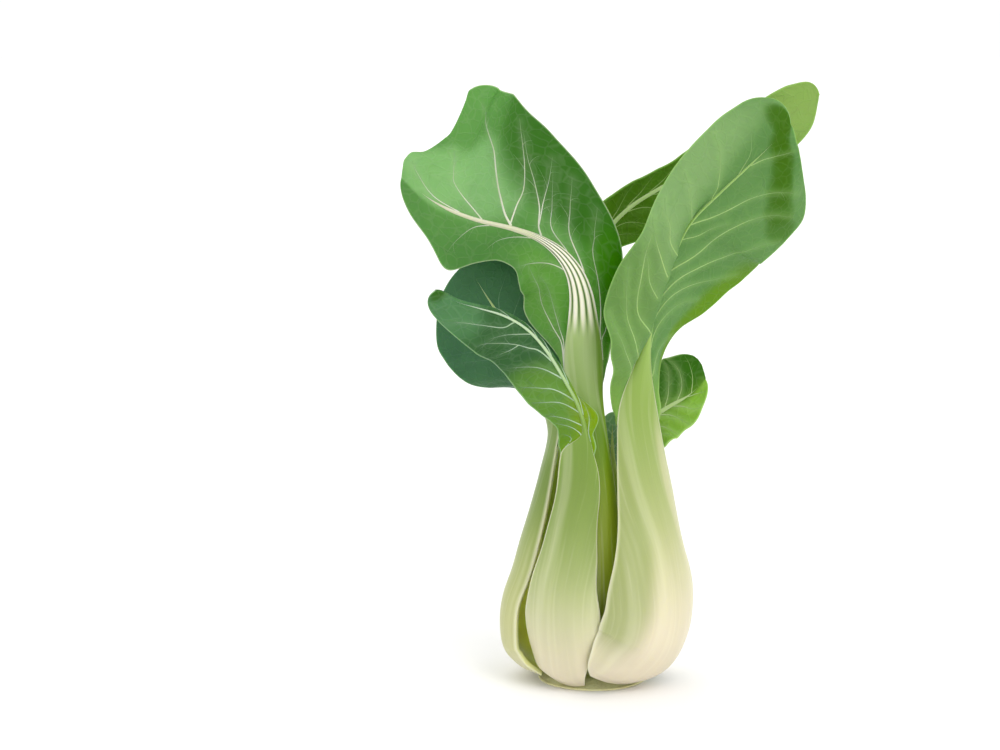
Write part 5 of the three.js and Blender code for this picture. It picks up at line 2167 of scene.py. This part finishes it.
HEART_BACK = Leaf(
    name="heart_back",
    spine=[(2, 4.9, 8.8), (3.3, 7, 16), (4.2, 7.6, 32), (3.8, 6.4, 48), (3.2, 5.2, 60), (3, 5, 68)],
    facing=[(0, 64, 0), (1, 62, 0)],
    stalk=[(0, 3), (0.15, 5), (0.3, 5.5), (0.5, 4.5), (0.7, 2.6), (0.77, 1.5), (0.83, 0.9)],
    flesh=[(0, 2), (0.3, 3), (0.7, 2.2), (0.83, 1.4)],
    cup=[(0, 30), (0.3, 40), (0.7, 30), (0.83, 0)],
    starts=0.6,
    tip=0.88,
    left=Half(
        reach=[(0.6, 5), (0.8, 6), (1, 5)],
        curl=[(0.5, 40), (1, 30)],
        rule=VeinRule(count=4, first=0.66, last=0.92, rise=0.06, width=0.16),
    ),
    right=Half(
        reach=[(0.6, 4.5), (0.8, 4.5), (1, 4)],
        curl=[(0.5, 20), (1, 10)],
        rule=VeinRule(count=4, first=0.66, last=0.92, rise=0.06, width=0.16),
    ),
    ripple=Ripple(height=0.4, waves=6),
    flesh_finish=HEART_STALK,
    green=HEART_GREEN,
    seed=10,
    crinkle=0.25,
    pitch=0.4,
)
LEAVES = (
    RIGHT_LEAF, FRONT_LEAF, LEFT_LEAF, TALL_LEAF, BACK_RIGHT_LEAF, SMALL_RIGHT_LEAF, BACK_LEFT_LEAF,
    HEART_FRONT, HEART_LEFT, HEART_BACK,
)


@dataclass(frozen=True)
class RootEnd:
    """The trimmed stem that the leaves spring from: a cut disc that steps up to its middle."""

    profile: tuple[Mark, ...] = (
        (0, 0), (6, 0.02), (12, 0), (17.4, 0), (18.3, 0.08), (18.6, 0.35), (18.45, 0.6), (18.0, 0.75),
        (16.4, 0.9), (15.2, 3.4), (12.5, 3.7), (7.8, 4.1), (6.4, 6.6), (3.2, 8), (2.6, 13), (1.4, 20),
        (0, 22),
    )
    sides: int = 160
    ragged: float = 0.35
    lobes: tuple[int, ...] = (3, 5, 8, 13, 21)
    seed: int = 9
    finish: RootFinish = RootFinish()

    def build(self) -> bpy.types.Object:
        """Makes the root end.

        Returns:
            The piece, ready to ride.
        """
        draw = np.random.default_rng(self.seed)
        angle = np.linspace(0, 2 * np.pi, self.sides, endpoint=False)
        uneven = sum(
            np.sin(number * angle + draw.uniform(0, 2 * np.pi)) / number**0.7 for number in self.lobes
        )
        rim = 1.0 + self.ragged * uneven / (4.0 * CUT_RADIUS) - self.ragged / CUT_RADIUS
        rings = [(r, z) for r, z in self.profile if r > 0]
        points = [(0.0, 0.0, self.profile[0][1] * MM)]
        for radius, height in rings:
            spread = radius * (1.0 + (rim - 1.0) * (radius / CUT_RADIUS) ** 3)
            points += [
                (s * np.cos(a) * MM, s * np.sin(a) * MM, height * MM) for s, a in zip(spread, angle)
            ]
        points.append((0.0, 0.0, self.profile[-1][1] * MM))
        faces = []
        for k in range(self.sides):
            after = (k + 1) % self.sides
            faces.append((0, 1 + after, 1 + k))
            for ring in range(len(rings) - 1):
                low, high = 1 + ring * self.sides, 1 + (ring + 1) * self.sides
                faces.append((low + k, low + after, high + after, high + k))
            top = 1 + (len(rings) - 1) * self.sides
            faces.append((top + k, top + after, len(points) - 1))
        mesh = bpy.data.meshes.new("root_end_flesh")
        mesh.from_pydata(points, [], faces)
        mesh.polygons.foreach_set("use_smooth", [True] * len(faces))
        mesh.materials.append(self.finish.material("root_end_finish"))
        piece = placed("root_end_flesh", mesh)
        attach(piece, "root")
        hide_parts("root_end")
        return piece


@dataclass(frozen=True)
class Studio:
    """A pale floor, soft light and the camera."""

    place: tuple[float, float, float] = (-0.03129, -0.78089, 0.21347)
    pitch: float = 8.0
    lens: float = 85.0
    sensor: float = 36.0
    floor_colour: Colour = (0.93, 0.925, 0.925)
    floor_size: float = 60.0
    sky: Colour = (1.0, 1.0, 1.0)
    sky_strength: float = 1.02

    def _lamp(self, name: str, comes_from: Mark, spread: float, power: float, colour: Colour) -> None:
        """Adds soft parallel light from one direction.

        Args:
            name: The lamp's name.
            comes_from: The direction that the light comes from.
            spread: How wide the lamp is, in degrees.
            power: Its strength.
            colour: Its colour.
        """
        lamp = bpy.data.lights.new(name, "SUN")
        lamp.energy, lamp.color, lamp.angle = power, colour, float(np.radians(spread))
        holder = placed(name, lamp)
        holder.rotation_euler = Vector(comes_from).to_track_quat("Z", "Y").to_euler()

    def build(self) -> None:
        """Makes the floor, the lights and the camera."""
        half = 0.5 * self.floor_size
        mesh = bpy.data.meshes.new("floor")
        corners = [(-half, -half, 0), (half, -half, 0), (half, half, 0), (-half, half, 0)]
        mesh.from_pydata(corners, [], [(0, 1, 2, 3)])
        board = Board("floor_finish")
        mesh.materials.append(board.finish(self.floor_colour, 0.75, None, Specular_IOR_Level=0.2))
        floor = placed("floor", mesh)
        world = bpy.data.worlds.new("studio")
        world.use_nodes = True
        sky = world.node_tree.nodes["Background"]
        sky.inputs[0].default_value = (*self.sky, 1.0)
        sky.inputs[1].default_value = self.sky_strength
        bpy.context.scene.world = world
        self._lamp("key", (0.55, -0.75, 0.9), 35.0, 0.9, (1.0, 0.99, 0.97))
        self._lamp("back", (-0.5, 0.6, 0.9), 60.0, 0.5, (1.0, 1.0, 1.0))
        bpy.context.scene.view_settings.view_transform = "Standard"
        seen = bpy.data.cameras.new("camera")
        seen.lens, seen.sensor_width = self.lens, self.sensor
        camera = placed("camera", seen)
        camera.location = self.place
        camera.rotation_euler = (np.radians(90.0 - self.pitch), 0.0, 0.0)
        bpy.context.scene.camera = camera


def main() -> None:
    """Builds the studio and the head, and reports each piece."""
    logging.basicConfig(level=logging.INFO, format="%(name)s: %(message)s")
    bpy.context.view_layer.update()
    Studio().build()
    pieces = [RootEnd().build()]
    beads = BeadTree()
    for leaf in LEAVES:
        pieces += leaf.build(beads)
    for piece in pieces:
        LOG.info("%s: %d faces", piece.name, len(piece.data.polygons))


if __name__ == "__main__":
    main()
